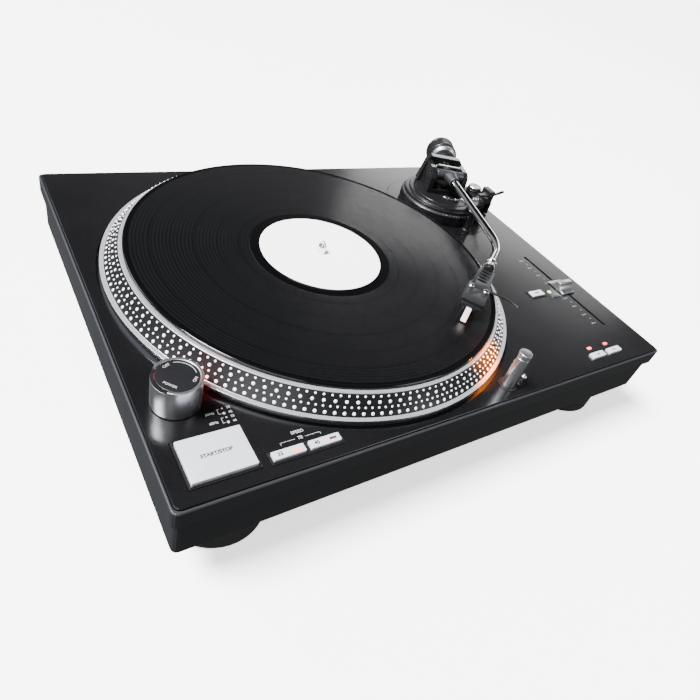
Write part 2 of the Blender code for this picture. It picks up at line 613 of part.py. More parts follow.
# ---- power knob and strobe lamp -------------------------------------------------
knob_low = PANEL + 2 * GAP
knob_top = PANEL + KNOB_HEIGHT
knob_inner = KNOB_RADIUS - KNOB_WALL
core_low = DECK_LOW - 8 * MM
knob = turned("power_knob", [
    (CORE_RADIUS + GAP, knob_low), (KNOB_RADIUS, knob_low), (KNOB_RADIUS, knob_top - 0.6 * MM),
    (KNOB_RADIUS - 0.6 * MM, knob_top), (knob_inner, knob_top), (knob_inner, knob_low + 1.5 * MM),
    (CORE_RADIUS + GAP, knob_low + 1.5 * MM)], MEDIUM, silver, closed=True,
    location=(KNOB_X, KNOB_Y, 0))
inlay = knob_inner - GAP
turned("strobe_core", [
    (0, core_low), (CORE_RADIUS, core_low), (CORE_RADIUS, knob_top - 2.5 * MM),
    (inlay, knob_top - 2.5 * MM), (inlay, knob_top - 0.4 * MM), (0, knob_top - 0.4 * MM)],
    MEDIUM, plastic_black, location=(KNOB_X, KNOB_Y, 0))
lens_low = knob_low + 2.4 * MM
lens_turn = KNOB_AZIMUTH - math.pi
lens_reach = math.sqrt((knob_inner * math.cos(math.pi / MEDIUM) - GAP) ** 2 - (LENS_WIDTH / 2) ** 2)
lens_back = CORE_RADIUS + GAP
rounded_slab("strobe_lens", (lens_back + lens_reach) / 2, 0, (lens_reach - lens_back) / 2, LENS_WIDTH / 2,
             lens_low, lens_low + LENS_HEIGHT, 0, red_lens, location=(KNOB_X, KNOB_Y, 0),
             turn=lens_turn)
cut(knob,
    box_tool("cut_knob_window", KNOB_RADIUS, 0, KNOB_WALL + 1 * MM, LENS_WIDTH / 2 + 1.2 * MM,
             lens_low - 0.4 * MM, lens_low + LENS_HEIGHT + 0.4 * MM,
             location=(KNOB_X, KNOB_Y, 0), turn=lens_turn),
    box_tool("cut_knob_notch", KNOB_RADIUS, 0, KNOB_WALL + 0.6 * MM, 1.3 * MM, knob_top - 1.6 * MM,
             knob_top + OVER, location=(KNOB_X, KNOB_Y, 0), turn=NOTCH_AZIMUTH))

# ---- push keys, bezels and lamps --------------------------------------------------
SWITCH_TOP = DECK_LOW - 6 * MM
STEM_HALF = 2.0 * MM
keys = []


def key(name, x, y, w, d, proud, window=False):
    top = PANEL + proud
    low = PANEL - KEY_SKIRT
    stem_low = SWITCH_TOP + KEY_TRAVEL + GAP

    def ring(half_w, half_d):
        return outline_rect(-half_w, half_w, -half_d, half_d)
    body = slab(name, [
        (ring(STEM_HALF, STEM_HALF), stem_low), (ring(STEM_HALF, STEM_HALF), low),
        (ring(w / 2, d / 2), low), (ring(w / 2, d / 2), top - 0.4 * MM),
        (ring(w / 2 - 0.4 * MM, d / 2 - 0.4 * MM), top)], silver, location=(x, y, 0))
    if window:
        cut(body, box_tool(f"cut_{name}_window", x + w / 2 - 5.2 * MM, y, WINDOW_W / 2, WINDOW_D / 2,
                           top - WINDOW_DEEP, top + OVER))
    keys.append((x, y))
    return body


def bezel(name, x, y, half_w, half_d, holes):
    outer_w = half_w + KEY_CLEAR + BEZEL_WALL
    outer_d = half_d + KEY_CLEAR + BEZEL_WALL

    def ring(inset):
        return outline_rect(x - outer_w + inset, x + outer_w - inset, y - outer_d + inset,
                            y + outer_d - inset)
    body = slab(name, [
        (ring(0), PANEL_LOW), (ring(0), PANEL + 0.4 * BEZEL_RAISE),
        (ring(0.7 * MM), PANEL + 0.4 * BEZEL_RAISE), (ring(0.7 * MM), PANEL + BEZEL_RAISE)],
        plastic_black)
    for i, (hx, hy, hw, hd) in enumerate(holes):
        cut(body, box_tool(f"cut_{name}_{i}", hx, hy, hw + KEY_CLEAR, hd + KEY_CLEAR,
                           PANEL_LOW - OVER, PANEL + OVER))
    return body


key("start_stop_key", *START, START_W, START_D, START_PROUD)
bezel("start_stop_bezel", *START, START_W / 2, START_D / 2, [(*START, START_W / 2, START_D / 2)])
key("key_33", *KEY_33, SPEED_W, SPEED_D, SPEED_PROUD, window=True)
key("key_45", *KEY_45, SPEED_W, SPEED_D, SPEED_PROUD, window=True)
bezel("speed_bezel", speed_mid, SPEED_Y, speed_half, SPEED_D / 2,
      [(*KEY_33, SPEED_W / 2, SPEED_D / 2), (*KEY_45, SPEED_W / 2, SPEED_D / 2)])
key("reset_key", *RESET, RESET_W, RESET_D, RESET_PROUD)
bezel("reset_bezel", *RESET, RESET_W / 2, RESET_D / 2, [(*RESET, RESET_W / 2, RESET_D / 2)])
key("range_key_left", *RANGE_LEFT, RANGE_W, RANGE_D, RANGE_PROUD)
key("range_key_right", *RANGE_RIGHT, RANGE_W, RANGE_D, RANGE_PROUD)
for label, place in (("left", RANGE_LEFT), ("right", RANGE_RIGHT)):
    rounded_slab(f"range_led_{label}", place[0], place[1] + RANGE_LED_BEHIND, RANGE_LED_W / 2,
                 RANGE_LED_D / 2, PANEL - LED_DEEP, PANEL + LED_PROUD, 1 * MM, red_lens,
                 chamfer=0.2 * MM)
turned("reset_led", [(0, PANEL - LED_DEEP), (LED_RADIUS, PANEL - LED_DEEP), (LED_RADIUS, PANEL),
                     (LED_RADIUS * 0.7, PANEL + LED_PROUD), (0, PANEL + LED_PROUD)],
       SMALL, green_lens, location=(*RESET_LED, 0))

# ---- pop-up target light -------------------------------------------------------------
light_top = PANEL + LIGHT_RISE
light = cylinder("target_light", LIGHT_RADIUS, PANEL - LIGHT_STUB, light_top, MEDIUM, chrome,
                 chamfer=0.7 * MM, location=(LIGHT_X, LIGHT_Y, 0))
light_turn = LIGHT_AZIMUTH + math.pi
pocket_w, pocket_deep = 4.4 * MM, 2.4 * MM
pocket_low, pocket_high = light_top - 10 * MM, light_top - 3 * MM
cut(light, box_tool("cut_light_pocket", LIGHT_RADIUS, 0, pocket_deep, pocket_w / 2, pocket_low,
                    pocket_high, location=(LIGHT_X, LIGHT_Y, 0), turn=light_turn))
rounded_slab("target_lens", LIGHT_RADIUS - pocket_deep / 2 - GAP, 0, pocket_deep / 2 - GAP,
             pocket_w / 2 - GAP, pocket_low + GAP, pocket_high - GAP, 0, amber_lens,
             location=(LIGHT_X, LIGHT_Y, 0), turn=light_turn)
socket_in = LIGHT_RADIUS + GAP
socket_out = socket_in + SOCKET_WALL
socket_low = FLOOR + 2 * GAP
turned("target_socket", [
    (0, socket_low), (socket_out, socket_low), (socket_out, PANEL + 0.4 * MM),
    (socket_in, PANEL + 0.4 * MM), (socket_in, socket_low + SOCKET_FLOOR),
    (0, socket_low + SOCKET_FLOOR)], MEDIUM, plastic_black, location=(LIGHT_X, LIGHT_Y, 0))
pin_top = PANEL + PIN_PROUD
turned("target_release_pin", [
    (0, DECK_LOW - 6 * MM), (PIN_STEM, DECK_LOW - 6 * MM), (PIN_STEM, pin_top - 1.4 * PIN_RADIUS),
    (PIN_RADIUS, pin_top - PIN_RADIUS), (PIN_RADIUS * 0.75, pin_top - 0.3 * PIN_RADIUS),
    (0, pin_top)], SMALL, chrome, location=(PIN_X, PIN_Y, 0))

# ---- pitch fader -----------------------------------------------------------------------
cap_low = PANEL + 0.5 * MM
cap_top = PANEL + CAP_H
cap_y = SLOT_Y + CAP_OFFSET
half = CAP_D / 2
ridge = CAP_RIDGE / 2
lip = cap_low + 1.2 * MM
scoop = []
for i in range(7):
    t = math.radians(90 * i / 6)
    scoop.append((half - (half - ridge) * math.sin(t), lip + (cap_top - 0.5 * MM - lip) * (1 - math.cos(t))))
side = [(half, cap_low)] + scoop + [(ridge - 0.5 * MM, cap_top)]
outline = side + [(-y, z) for y, z in reversed(side)]
cap = prism("pitch_cap", outline, "x", -CAP_W / 2, CAP_W / 2, silver, location=(SLOT_X, cap_y, 0))
stem_low = DECK_LOW - 4.5 * MM
fuse(cap, box_tool("tool_cap_stem", 0, 0, STEM_W / 2, STEM_D / 2, stem_low, cap_low + 1 * MM,
                   location=(SLOT_X, cap_y, 0)))
track_top = DECK_LOW - GAP
track = rounded_slab("pitch_track", SLOT_X, SLOT_Y, TRACK_W / 2, SLOT_LENGTH / 2 + 7 * MM,
                     track_top - TRACK_H, track_top, 0, plastic_black)
cut(track, box_tool("cut_track", SLOT_X, SLOT_Y, SLOT_WIDTH / 2, SLOT_LENGTH / 2,
                    stem_low - 1.5 * MM, track_top + OVER))

# ---- board, power supply and rear sockets -------------------------------------------------
BOARD_LOW = FLOOR + 8 * MM
BOARD_TOP = BOARD_LOW + 1.6 * MM
board_front = -HALF_D + 8 * MM
board_back = -HALF_D + 50 * MM
board = rounded_slab("main_board", 0, (board_front + board_back) / 2, HALF_W - 12 * MM,
                     (board_back - board_front) / 2, BOARD_LOW, BOARD_TOP, 0, board_green)
cut(board, hole_tool("cut_board_socket", LIGHT_X, LIGHT_Y, socket_out + 1 * MM, BOARD_LOW - OVER,
                     BOARD_TOP + OVER))
tongue_low, tongue_high = board_back - 4 * MM, SLOT_Y + 8 * MM
fuse(board, box_tool("tool_board_tongue", RESET[0], (tongue_low + tongue_high) / 2, 9 * MM,
                     (tongue_high - tongue_low) / 2, BOARD_LOW, BOARD_TOP))
for i, (x, y) in enumerate(keys):
    fuse(board, box_tool(f"tool_switch_{i}", x, y, 2.5 * MM, 2.5 * MM, BOARD_LOW + 1 * MM, SWITCH_TOP))
fuse(board,
     box_tool("tool_heat_sink", PLATTER_X, board_front + 20 * MM, 20 * MM, 9 * MM,
              BOARD_LOW + 1 * MM, BOARD_TOP + 14 * MM),
     hole_tool("tool_capacitor", PLATTER_X + 40 * MM, board_front + 20 * MM, 7 * MM,
               BOARD_LOW + 1 * MM, BOARD_TOP + 18 * MM))
posts = []
for i, (x, y) in enumerate(((-HALF_W + 20 * MM, board_back - 6 * MM), (HALF_W - 20 * MM, board_back - 6 * MM),
                            (PLATTER_X, board_back - 6 * MM))):
    posts.append(hole_tool(f"tool_post_{i}", x, y, 3 * MM, FLOOR - 1 * MM, BOARD_LOW - GAP, 16))
fuse(tray, *posts)

supply_x, supply_y = PLATTER_X - 78 * MM, HALF_D - 50 * MM
supply = rounded_slab("transformer", supply_x, supply_y, 30 * MM, 16 * MM, FLOOR + GAP,
                      FLOOR + 34 * MM, 2 * MM, steel)
fuse(supply, box_tool("tool_winding", supply_x, supply_y, 19 * MM, 24 * MM, FLOOR + 4 * MM,
                      FLOOR + 29 * MM, 4 * MM))

inlet_front = tray_d - INLET_D
inlet = prism("mains_inlet", outline_rect(INLET_X - INLET_W / 2, INLET_X + INLET_W / 2,
                                          INLET_Z - INLET_H / 2, INLET_Z + INLET_H / 2, 2 * MM, 3),
              "y", inlet_front, tray_d + 1.4 * MM, plastic_black)
cut(inlet, prism("cut_inlet", outline_rect(INLET_X - 11 * MM, INLET_X + 11 * MM, INLET_Z - 7 * MM,
                                           INLET_Z + 7 * MM, 2 * MM, 3),
                 "y", inlet_front + 5 * MM, tray_d + OVER, None))
for i, (dx, dz) in enumerate(((-6 * MM, -1.5 * MM), (0, 2.5 * MM), (6 * MM, -1.5 * MM))):
    fuse(inlet, box_tool(f"tool_pin_{i}", INLET_X + dx, inlet_front + 10 * MM, 1 * MM, 6 * MM,
                         INLET_Z + dz - 2 * MM, INLET_Z + dz + 2 * MM))
plate_back = tray_d - TRAY_WALL - GAP
output = rounded_slab("output_panel", OUTPUT_X, plate_back - 1 * MM, OUTPUT_W / 2 + 3 * MM, 1 * MM,
                      OUTPUT_Z - OUTPUT_H / 2 - 2 * MM, OUTPUT_Z + OUTPUT_H / 2 + 2 * MM, 0, plastic_black)
jack_length = STEP_INSET + TRAY_WALL
for i, (dx, radius) in enumerate(((-17 * MM, 4.2 * MM), (0, 4.2 * MM), (17 * MM, 3.4 * MM))):
    seat = {"location": (OUTPUT_X + dx, plate_back, OUTPUT_Z), "tip": (-math.pi / 2, 0)}
    sleeve = cylinder(f"tool_jack_{i}", radius, -1.2 * MM, jack_length, SMALL, None, **seat)
    if i < 2:
        cut(sleeve, cylinder(f"cut_jack_{i}", 1.7 * MM, 1 * MM, jack_length + OVER, 16, None, **seat))
    fuse(output, sleeve)

# ---- tonearm base ---------------------------------------------------------------------------
arm_axis = pivot("arm_axis", (PIVOT_X, PIVOT_Y, PANEL))
plate_top = PLATE_RAISE
plate = turned("arm_plate", [
    (YAW_PIN + 4 * MM, -PANEL_THICK), (PLATE_RADIUS, -PANEL_THICK), (PLATE_RADIUS, plate_top),
    (YAW_PIN + 4 * MM, plate_top)], BROAD, satin_black, closed=True, parent=arm_axis)
cut(plate, hole_tool("cut_plate_well", PLATTER_X, PLATTER_Y, WELL_RADIUS, PANEL_LOW - OVER,
                     PANEL + OVER, ROUND))
ring_low = plate_top + GAP
turned("height_ring", [
    (RING_INNER, ring_low), (RING_RADIUS, ring_low), (RING_RADIUS, RING_HEIGHT - 1.2 * MM),
    (RING_RADIUS - 1.2 * MM, RING_HEIGHT), (RING_INNER, RING_HEIGHT)], BROAD, plastic_black,
    closed=True, parent=arm_axis)
base_step = RING_HEIGHT + GAP
flange_top = base_step + FLANGE_STEP
base_top = flange_top + CAP_STEP
pin_bore = YAW_PIN + GAP
base = turned("arm_base", [
    (pin_bore, ring_low), (RING_INNER - GAP, ring_low), (RING_INNER - GAP, base_step),
    (BASE_FLANGE, base_step), (BASE_FLANGE, flange_top), (BASE_CAP, flange_top),
    (BASE_CAP, base_top), (pin_bore, base_top)], BROAD, plastic_black, closed=True, parent=arm_axis)
skirt_in = RING_RADIUS + 2 * GAP
skirt_out = skirt_in + 4 * MM
bar_in = BASE_CAP - 8 * MM
cue_in = skirt_out - CUE_W
post_x = -LIFT_POST_RADIUS * math.sin(LIFT_POST_AZIMUTH)
post_y = -LIFT_POST_RADIUS * math.cos(LIFT_POST_AZIMUTH)
lifter_top = base_top + 9 * MM
fuse(base,
     box_tool("tool_bar", (bar_in + skirt_out) / 2, -7 * MM, (skirt_out - bar_in) / 2, 17 * MM,
              base_step, base_top, parent=arm_axis),
     box_tool("tool_skirt", (skirt_in + skirt_out) / 2, -7 * MM, (skirt_out - skirt_in) / 2, 17 * MM,
              ring_low + 0.5 * MM, base_step + 1 * MM, parent=arm_axis),
     box_tool("tool_cue_housing", (cue_in + skirt_out) / 2, CUE_Y, CUE_W / 2, CUE_D / 2,
              base_step + 1 * MM, CUE_TOP, 1 * MM, parent=arm_axis),
     cylinder("tool_dial_seat", SKATE_RADIUS + 1 * MM, base_step, SKATE_TOP - 3 * MM, MEDIUM, None,
              location=(DIAL_FROM_PIVOT_X, DIAL_FROM_PIVOT_Y, 0), parent=arm_axis),
     cylinder("tool_lifter", 4.2 * MM, base_step + 0.5 * MM, lifter_top, SMALL, None,
              location=(post_x, post_y, 0), parent=arm_axis))
cut(base, cylinder("cut_lifter", LIFT_BAR + GAP, base_top, lifter_top + OVER, SMALL, None,
                   location=(post_x, post_y, 0), parent=arm_axis))
turned("antiskate_dial", [
    (0, SKATE_TOP - 3 * MM + GAP), (SKATE_RADIUS, SKATE_TOP - 3 * MM + GAP),
    (SKATE_RADIUS, SKATE_TOP - 0.5 * MM), (SKATE_RADIUS - 0.5 * MM, SKATE_TOP), (0, SKATE_TOP)],
    MEDIUM, silver, location=(DIAL_FROM_PIVOT_X, DIAL_FROM_PIVOT_Y, 0), parent=arm_axis)

lever_axis = pivot("cue_lever_axis", (skirt_out + GAP, CUE_Y, LEVER_AXIS_RISE), parent=arm_axis)
lever = rod("cue_lever", [(0, 0, 0), (3 * MM, 0, 0)], 4 * MM, SMALL, plastic_black, parent=lever_axis)
reach_y = -LEVER_LENGTH * math.cos(LEVER_ANGLE)
reach_z = LEVER_LENGTH * math.sin(LEVER_ANGLE)
fuse(lever, rod("tool_lever_rod", [(1.5 * MM, 0, 0), (1.6 * MM, reach_y / 2, reach_z / 2),
                                   (1.7 * MM, reach_y, reach_z)], LEVER_RADIUS, 12, None,
                parent=lever_axis))

lift_top = PIVOT_RISE - TUBE_RADIUS - 1.5 * MM
lift_mid = lift_top - LIFT_BAR
arc = [(post_x, post_y, lift_mid)]
for i in range(17):
    a = LIFT_ARC_FROM + (LIFT_ARC_TO - LIFT_ARC_FROM) * i / 16
    arc.append((-LIFT_ARC_RADIUS * math.sin(a), -LIFT_ARC_RADIUS * math.cos(a), lift_mid))
lift = rod("cue_lift", arc, LIFT_BAR, 12, chrome, parent=arm_axis)
fuse(lift, cylinder("tool_lift_rod", LIFT_BAR * 0.9, base_top + GAP, lift_mid, 12, None,
                    location=(post_x, post_y, 0), parent=arm_axis))

# ---- yoke and gimbal: swing about the vertical axis ---------------------------------------------
yaw_axis = pivot("yaw_axis", (0, 0, 0), -YOKE_TURN, arm_axis)
yoke_low = base_top + 2 * GAP
cheek_out = CHEEK_INNER + CHEEK_WALL
cheek_top = PIVOT_RISE + CHEEK_ABOVE
rear_top = PIVOT_RISE + REAR_ABOVE
yoke = rounded_slab("arm_yoke", 0, (YOKE_REAR - YOKE_FRONT) / 2, cheek_out, (YOKE_REAR + YOKE_FRONT) / 2,
                    yoke_low, yoke_low + YOKE_FLOOR, 0, plastic_black, parent=yaw_axis)
cheek = [(-YOKE_FRONT, yoke_low + 1 * MM), (YOKE_REAR, yoke_low + 1 * MM), (YOKE_REAR, cheek_top),
         (3 * MM, cheek_top), (-2 * MM, cheek_top - 1.5 * MM), (-YOKE_FRONT + 1 * MM, cheek_top - 5 * MM),
         (-YOKE_FRONT, cheek_top - 9 * MM)]
rear = [(-cheek_out - YOKE_FLARE, yoke_low + 0.5 * MM), (cheek_out, yoke_low + 0.5 * MM),
        (cheek_out, cheek_top - 1 * MM), (cheek_out - 3.5 * MM, rear_top - 1 * MM),
        (cheek_out - 4.5 * MM, rear_top), (-cheek_out + 4 * MM, rear_top),
        (-cheek_out + 1 * MM, rear_top - 1.5 * MM), (-cheek_out - 0.5 * MM, rear_top - 5 * MM)]
fuse(yoke,
     prism("tool_cheek_left", cheek, "x", -cheek_out, -CHEEK_INNER, None, parent=yaw_axis),
     prism("tool_cheek_right", cheek, "x", CHEEK_INNER, cheek_out, None, parent=yaw_axis),
     prism("tool_rear", rear, "y", YOKE_REAR - REAR_WALL, YOKE_REAR + 0.5 * MM, None, parent=yaw_axis),
     cylinder("tool_yaw_pin", YAW_PIN, yoke_low - YAW_PIN_LENGTH, yoke_low + 1 * MM, MEDIUM, None,
              parent=yaw_axis))
stub_lean = STUB_TURN - YOKE_TURN
hole_u = (YOKE_REAR - REAR_WALL / 2) * math.tan(stub_lean)
cut(yoke,
    box_tool("cut_yoke_rear", hole_u, YOKE_REAR - REAR_WALL / 2, STUB_RADIUS + 2 * MM, REAR_WALL,
             PIVOT_RISE - 8 * MM, PIVOT_RISE + 5.5 * MM, parent=yaw_axis),
    cylinder("cut_yoke_pins", PIVOT_PIN + GAP, -cheek_out - OVER, cheek_out + OVER, 16, None,
             location=(0, 0, PIVOT_RISE), tip=(0, math.pi / 2), parent=yaw_axis))

ring_half, ring_up, bar = CHEEK_INNER - GAP, 7.0 * MM, 1.8 * MM
outer = outline_rect(-ring_half, ring_half, PIVOT_RISE - ring_up, PIVOT_RISE + ring_up, 3 * MM, 4)
inner = outline_rect(-ring_half + bar, ring_half - bar, PIVOT_RISE - ring_up + bar,
                     PIVOT_RISE + ring_up - bar, 1.6 * MM, 4)
gimbal = bmesh.new()
ring_front, ring_back = BARREL_RADIUS + 1.2 * MM, BARREL_RADIUS + 3.2 * MM
skin(gimbal, [[(x, ring_front, z) for x, z in outer], [(x, ring_back, z) for x, z in outer],
              [(x, ring_back, z) for x, z in inner], [(x, ring_front, z) for x, z in inner]],
     closed=True)
finish("gimbal_ring", gimbal, chrome, parent=yaw_axis)

# ---- arm: tilts about the barrel -----------------------------------------------------------------
tilt_axis = pivot("tilt_axis", (0, 0, PIVOT_RISE), parent=yaw_axis)
barrel_half = CHEEK_INNER - 2 * GAP
pin_reach = cheek_out - 1 * MM
hub = turned("arm_hub", [
    (0, -pin_reach), (PIVOT_PIN, -pin_reach), (PIVOT_PIN, -barrel_half), (BARREL_RADIUS, -barrel_half),
    (BARREL_RADIUS, barrel_half), (PIVOT_PIN, barrel_half), (PIVOT_PIN, pin_reach), (0, pin_reach)],
    SMALL, gunmetal, tip=(0, math.pi / 2), parent=tilt_axis)
tube_lean = TUBE_AZIMUTH - YOKE_TURN


def heading(lean):
    return Vector((-math.sin(lean), -math.cos(lean), 0))


ahead = heading(tube_lean)
back = -heading(stub_lean)
socket_start, socket_end = 1.0 * MM, SOCKET_LENGTH
bore_start = SOCKET_LENGTH - 8 * MM
fuse(hub,
     rod("tool_socket", [ahead * socket_start, ahead * 6 * MM, ahead * (socket_end - 3 * MM),
                         ahead * socket_end], 0, SMALL, None,
         radii=[6.4 * MM, 7.2 * MM, 5.8 * MM, 5.3 * MM], parent=tilt_axis),
     rod("tool_stub", [back * 0.5 * MM, back * STUB_LENGTH], STUB_RADIUS, SMALL, None, parent=tilt_axis))
cut(hub, rod("cut_socket", [ahead * bore_start, ahead * (socket_end + OVER)], TUBE_RADIUS + GAP, SMALL,
             None, parent=tilt_axis))

path = [ahead * (bore_start + GAP), ahead * (TUBE_STRAIGHT / 2), ahead * TUBE_STRAIGHT]
BEND_STEPS = 16
lean = tube_lean
point = ahead * TUBE_STRAIGHT
for i in range(BEND_STEPS):
    step = TUBE_BEND / BEND_STEPS
    point = point + heading(lean + step / 2) * (2 * TUBE_BEND_RADIUS * math.sin(step / 2))
    lean += step
    path.append(point)
shell_way = heading(lean)
SHELL_START = 6.5 * MM
STYLUS_AT = SHELL_START + SHELL_LENGTH + 8.0 * MM
along = point.dot(shell_way)
reach = -along + math.sqrt(along * along + EFFECTIVE_LENGTH ** 2 - point.length_squared)
tail = reach - STYLUS_AT
tube_end = point + shell_way * tail
path.append(tube_end)
rod("arm_tube", path, TUBE_RADIUS, SMALL, chrome, parent=tilt_axis)

# ---- headshell end, drawn with the arm pointing along -Y from the tube's end --------------------------
shell_axis = pivot("shell_axis", tube_end, -lean, tilt_axis)
turned("locking_collar", [
    (TUBE_RADIUS + GAP, -5 * MM), (TUBE_RADIUS + GAP + COLLAR_WALL - 0.4 * MM, -5 * MM),
    (TUBE_RADIUS + GAP + COLLAR_WALL, -4.6 * MM),
    (TUBE_RADIUS + GAP + COLLAR_WALL, COLLAR_LENGTH - 5 * MM),
    (TUBE_RADIUS + GAP, COLLAR_LENGTH - 5 * MM)], MEDIUM, chrome, closed=True,
    tip=(math.pi / 2, 0), parent=shell_axis)
shell_top = -SHELL_DROP
shell_low = shell_top - SHELL_THICK
s0 = SHELL_START
s1 = s0 + SHELL_LENGTH
shoulder = s0 + SHELL_SHOULDER
half_back, half_front = SHELL_BACK / 2, SHELL_FRONT / 2
left = [(half_back, s0), (half_back + 0.9 * MM, shoulder - 2 * MM), (half_front, shoulder + 2 * MM),
        (half_front, s1 - 1 * MM), (half_front - 1 * MM, s1)]
shell_outline = [(x, -s) for x, s in left] + [(-x, -s) for x, s in reversed(left)]
shell = slab("headshell", [(shell_outline, shell_low), (shell_outline, shell_top)], gunmetal,
             parent=shell_axis)
fuse(shell, cylinder("tool_neck", TUBE_RADIUS - GAP, GAP, s0 + 2 * MM, SMALL, None,
                     tip=(math.pi / 2, 0), parent=shell_axis))
for i in range(SHELL_HOLES):
    s = s0 + 5.0 * MM + 5.4 * MM * i
    oval = [(4.6 * MM * math.cos(a), -s + 1.6 * MM * math.sin(a))
            for a in (2 * math.pi * k / 20 for k in range(20))]
    cut(shell, slab(f"cut_shell_{i}", [(oval, shell_low - OVER), (oval, shell_top + OVER)], None,
                    parent=shell_axis))
screw_s = s0 + SCREW_AT
for label, side in (("left", -1), ("right", 1)):
    cut(shell, hole_tool(f"cut_shell_screw_{label}", side * SCREW_SIDE, -screw_s, 1.5 * MM,
                         shell_low - OVER, shell_top + OVER, 16, parent=shell_axis))
    turned(f"headshell_screw_{label}", [
        (0, shell_low + GAP), (1.2 * MM, shell_low + GAP), (1.2 * MM, shell_top + GAP),
        (SCREW_HEAD, shell_top + GAP), (SCREW_HEAD, shell_top + 1.7 * MM),
        (SCREW_HEAD - 0.4 * MM, shell_top + 2.1 * MM), (0, shell_top + 2.1 * MM)],
        SMALL, chrome, location=(side * SCREW_SIDE, -screw_s, 0), parent=shell_axis)
c0 = s0 + CARTRIDGE_AT
c1 = c0 + CARTRIDGE_D
cart_top = shell_low - GAP


def cart_ring(inset_side, inset_front):
    return outline_rect(-CARTRIDGE_W / 2 + inset_side, CARTRIDGE_W / 2 - inset_side,
                        -c1 + inset_front, -c0)


slab("cartridge", [
    (cart_ring(4 * MM, 3 * MM), cart_top - CARTRIDGE_H), (cart_ring(2.4 * MM, 0.5 * MM), cart_top - 6 * MM),
    (cart_ring(2.4 * MM, 0), cart_top - 3 * MM), (cart_ring(0, 0), cart_top - 2.4 * MM),
    (cart_ring(0, 0), cart_top)], plastic_black, parent=shell_axis)
tip_z = RECORD_TOP + BEAD_RAISE + GAP - PANEL - PIVOT_RISE
n0 = c1 + GAP
nose = [(-n0, cart_top - 2 * MM), (-n0 - 1.6 * MM, cart_top - 2 * MM),
        (-STYLUS_AT + 1.2 * MM, tip_z + 4 * MM), (-STYLUS_AT - 0.6 * MM, tip_z + 0.9 * MM),
        (-STYLUS_AT, tip_z), (-STYLUS_AT + 1.4 * MM, tip_z + 1.2 * MM), (-n0, cart_top - 8 * MM)]
prism("stylus", nose, "x", -2.2 * MM, 2.2 * MM, stylus_grey, parent=shell_axis)
lift_s = shoulder + 3 * MM
lift_z = shell_top - SHELL_THICK / 2
rod("finger_lift", [
    (half_front + GAP, -lift_s, lift_z), (half_front + LIFT_LENGTH * 0.45, -lift_s, lift_z + 0.6 * MM),
    (half_front + LIFT_LENGTH * 0.8, -lift_s - 0.8 * MM, lift_z + 0.2 * MM),
    (half_front + LIFT_LENGTH, -lift_s - 2.6 * MM, lift_z - 0.8 * MM)], LIFT_RADIUS, 12, bronze,
    parent=shell_axis)

# ---- counterweight and its dial, along the rear stub ---------------------------------------------------
weight_axis = pivot("weight_axis", (0, 0, 0), -stub_lean, tilt_axis)
stub_bore = STUB_RADIUS + GAP
w0, w1 = WEIGHT_START, WEIGHT_START + WEIGHT_LENGTH
turned("counterweight", [
    (stub_bore, w0), (WEIGHT_RADIUS - 1 * MM, w0), (WEIGHT_RADIUS, w0 + 1 * MM),
    (WEIGHT_RADIUS, w1 - 1.5 * MM), (WEIGHT_RADIUS - 1.5 * MM, w1), (stub_bore, w1)],
    MEDIUM, plastic_black, closed=True, tip=(-math.pi / 2, 0), parent=weight_axis)
d0 = w0 - GAP - DIAL_LENGTH
turned("weight_dial", [
    (stub_bore, d0), (DIAL_RADIUS - 2.4 * MM, d0), (DIAL_RADIUS, d0 + 2 * MM), (DIAL_RADIUS, w0 - GAP),
    (stub_bore, w0 - GAP)], MEDIUM, silver, closed=True, tip=(-math.pi / 2, 0), parent=weight_axis)

# ---- arm rest: the tube parks in it when the arm is swung out ---------------------------------------------
rest_x = -REST_FORWARD * math.sin(TUBE_AZIMUTH - PARK_TURN)
rest_axis = pivot("rest_axis", (rest_x, -REST_FORWARD, 0), parent=arm_axis)
cradle = PIVOT_RISE - TUBE_RADIUS - 1.3 * GAP
prong = TUBE_RADIUS + 1 * MM
prong_out = prong + 3.2 * MM
hinge_z = PIVOT_RISE + TUBE_RADIUS + 1.7 * MM
rest = turned("arm_rest_post", [
    (0, plate_top + GAP), (REST_RADIUS, plate_top + GAP), (REST_RADIUS, plate_top + 2 * MM),
    (3.6 * MM, plate_top + 3 * MM), (3.6 * MM, cradle - 3 * MM), (0, cradle - 3 * MM)], SMALL,
    plastic_black, parent=rest_axis)
fuse(rest, prism("tool_cradle", [
    (-6 * MM, cradle - 4.5 * MM), (prong_out, cradle - 4.5 * MM), (prong_out, hinge_z - 2 * MM),
    (prong, hinge_z - 2 * MM), (prong, cradle), (-6 * MM, cradle)], "y", -3.5 * MM, 3.5 * MM, None,
    parent=rest_axis))
clip_axis = pivot("clip_axis", ((prong + prong_out) / 2, 0, hinge_z), parent=rest_axis)
clip = rod("arm_rest_clip", [(0, -3.2 * MM, 0), (0, 3.2 * MM, 0)], 1.6 * MM, 16, plastic_black,
           parent=clip_axis)
clip_reach = prong + 5 * MM
fuse(clip, box_tool("tool_clip_bar", -clip_reach / 2, 0, clip_reach / 2, 2 * MM, -0.8 * MM, 0.9 * MM,
                    parent=clip_axis))
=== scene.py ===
import json
import math

import bmesh
import bpy
from mathutils import Matrix, Vector


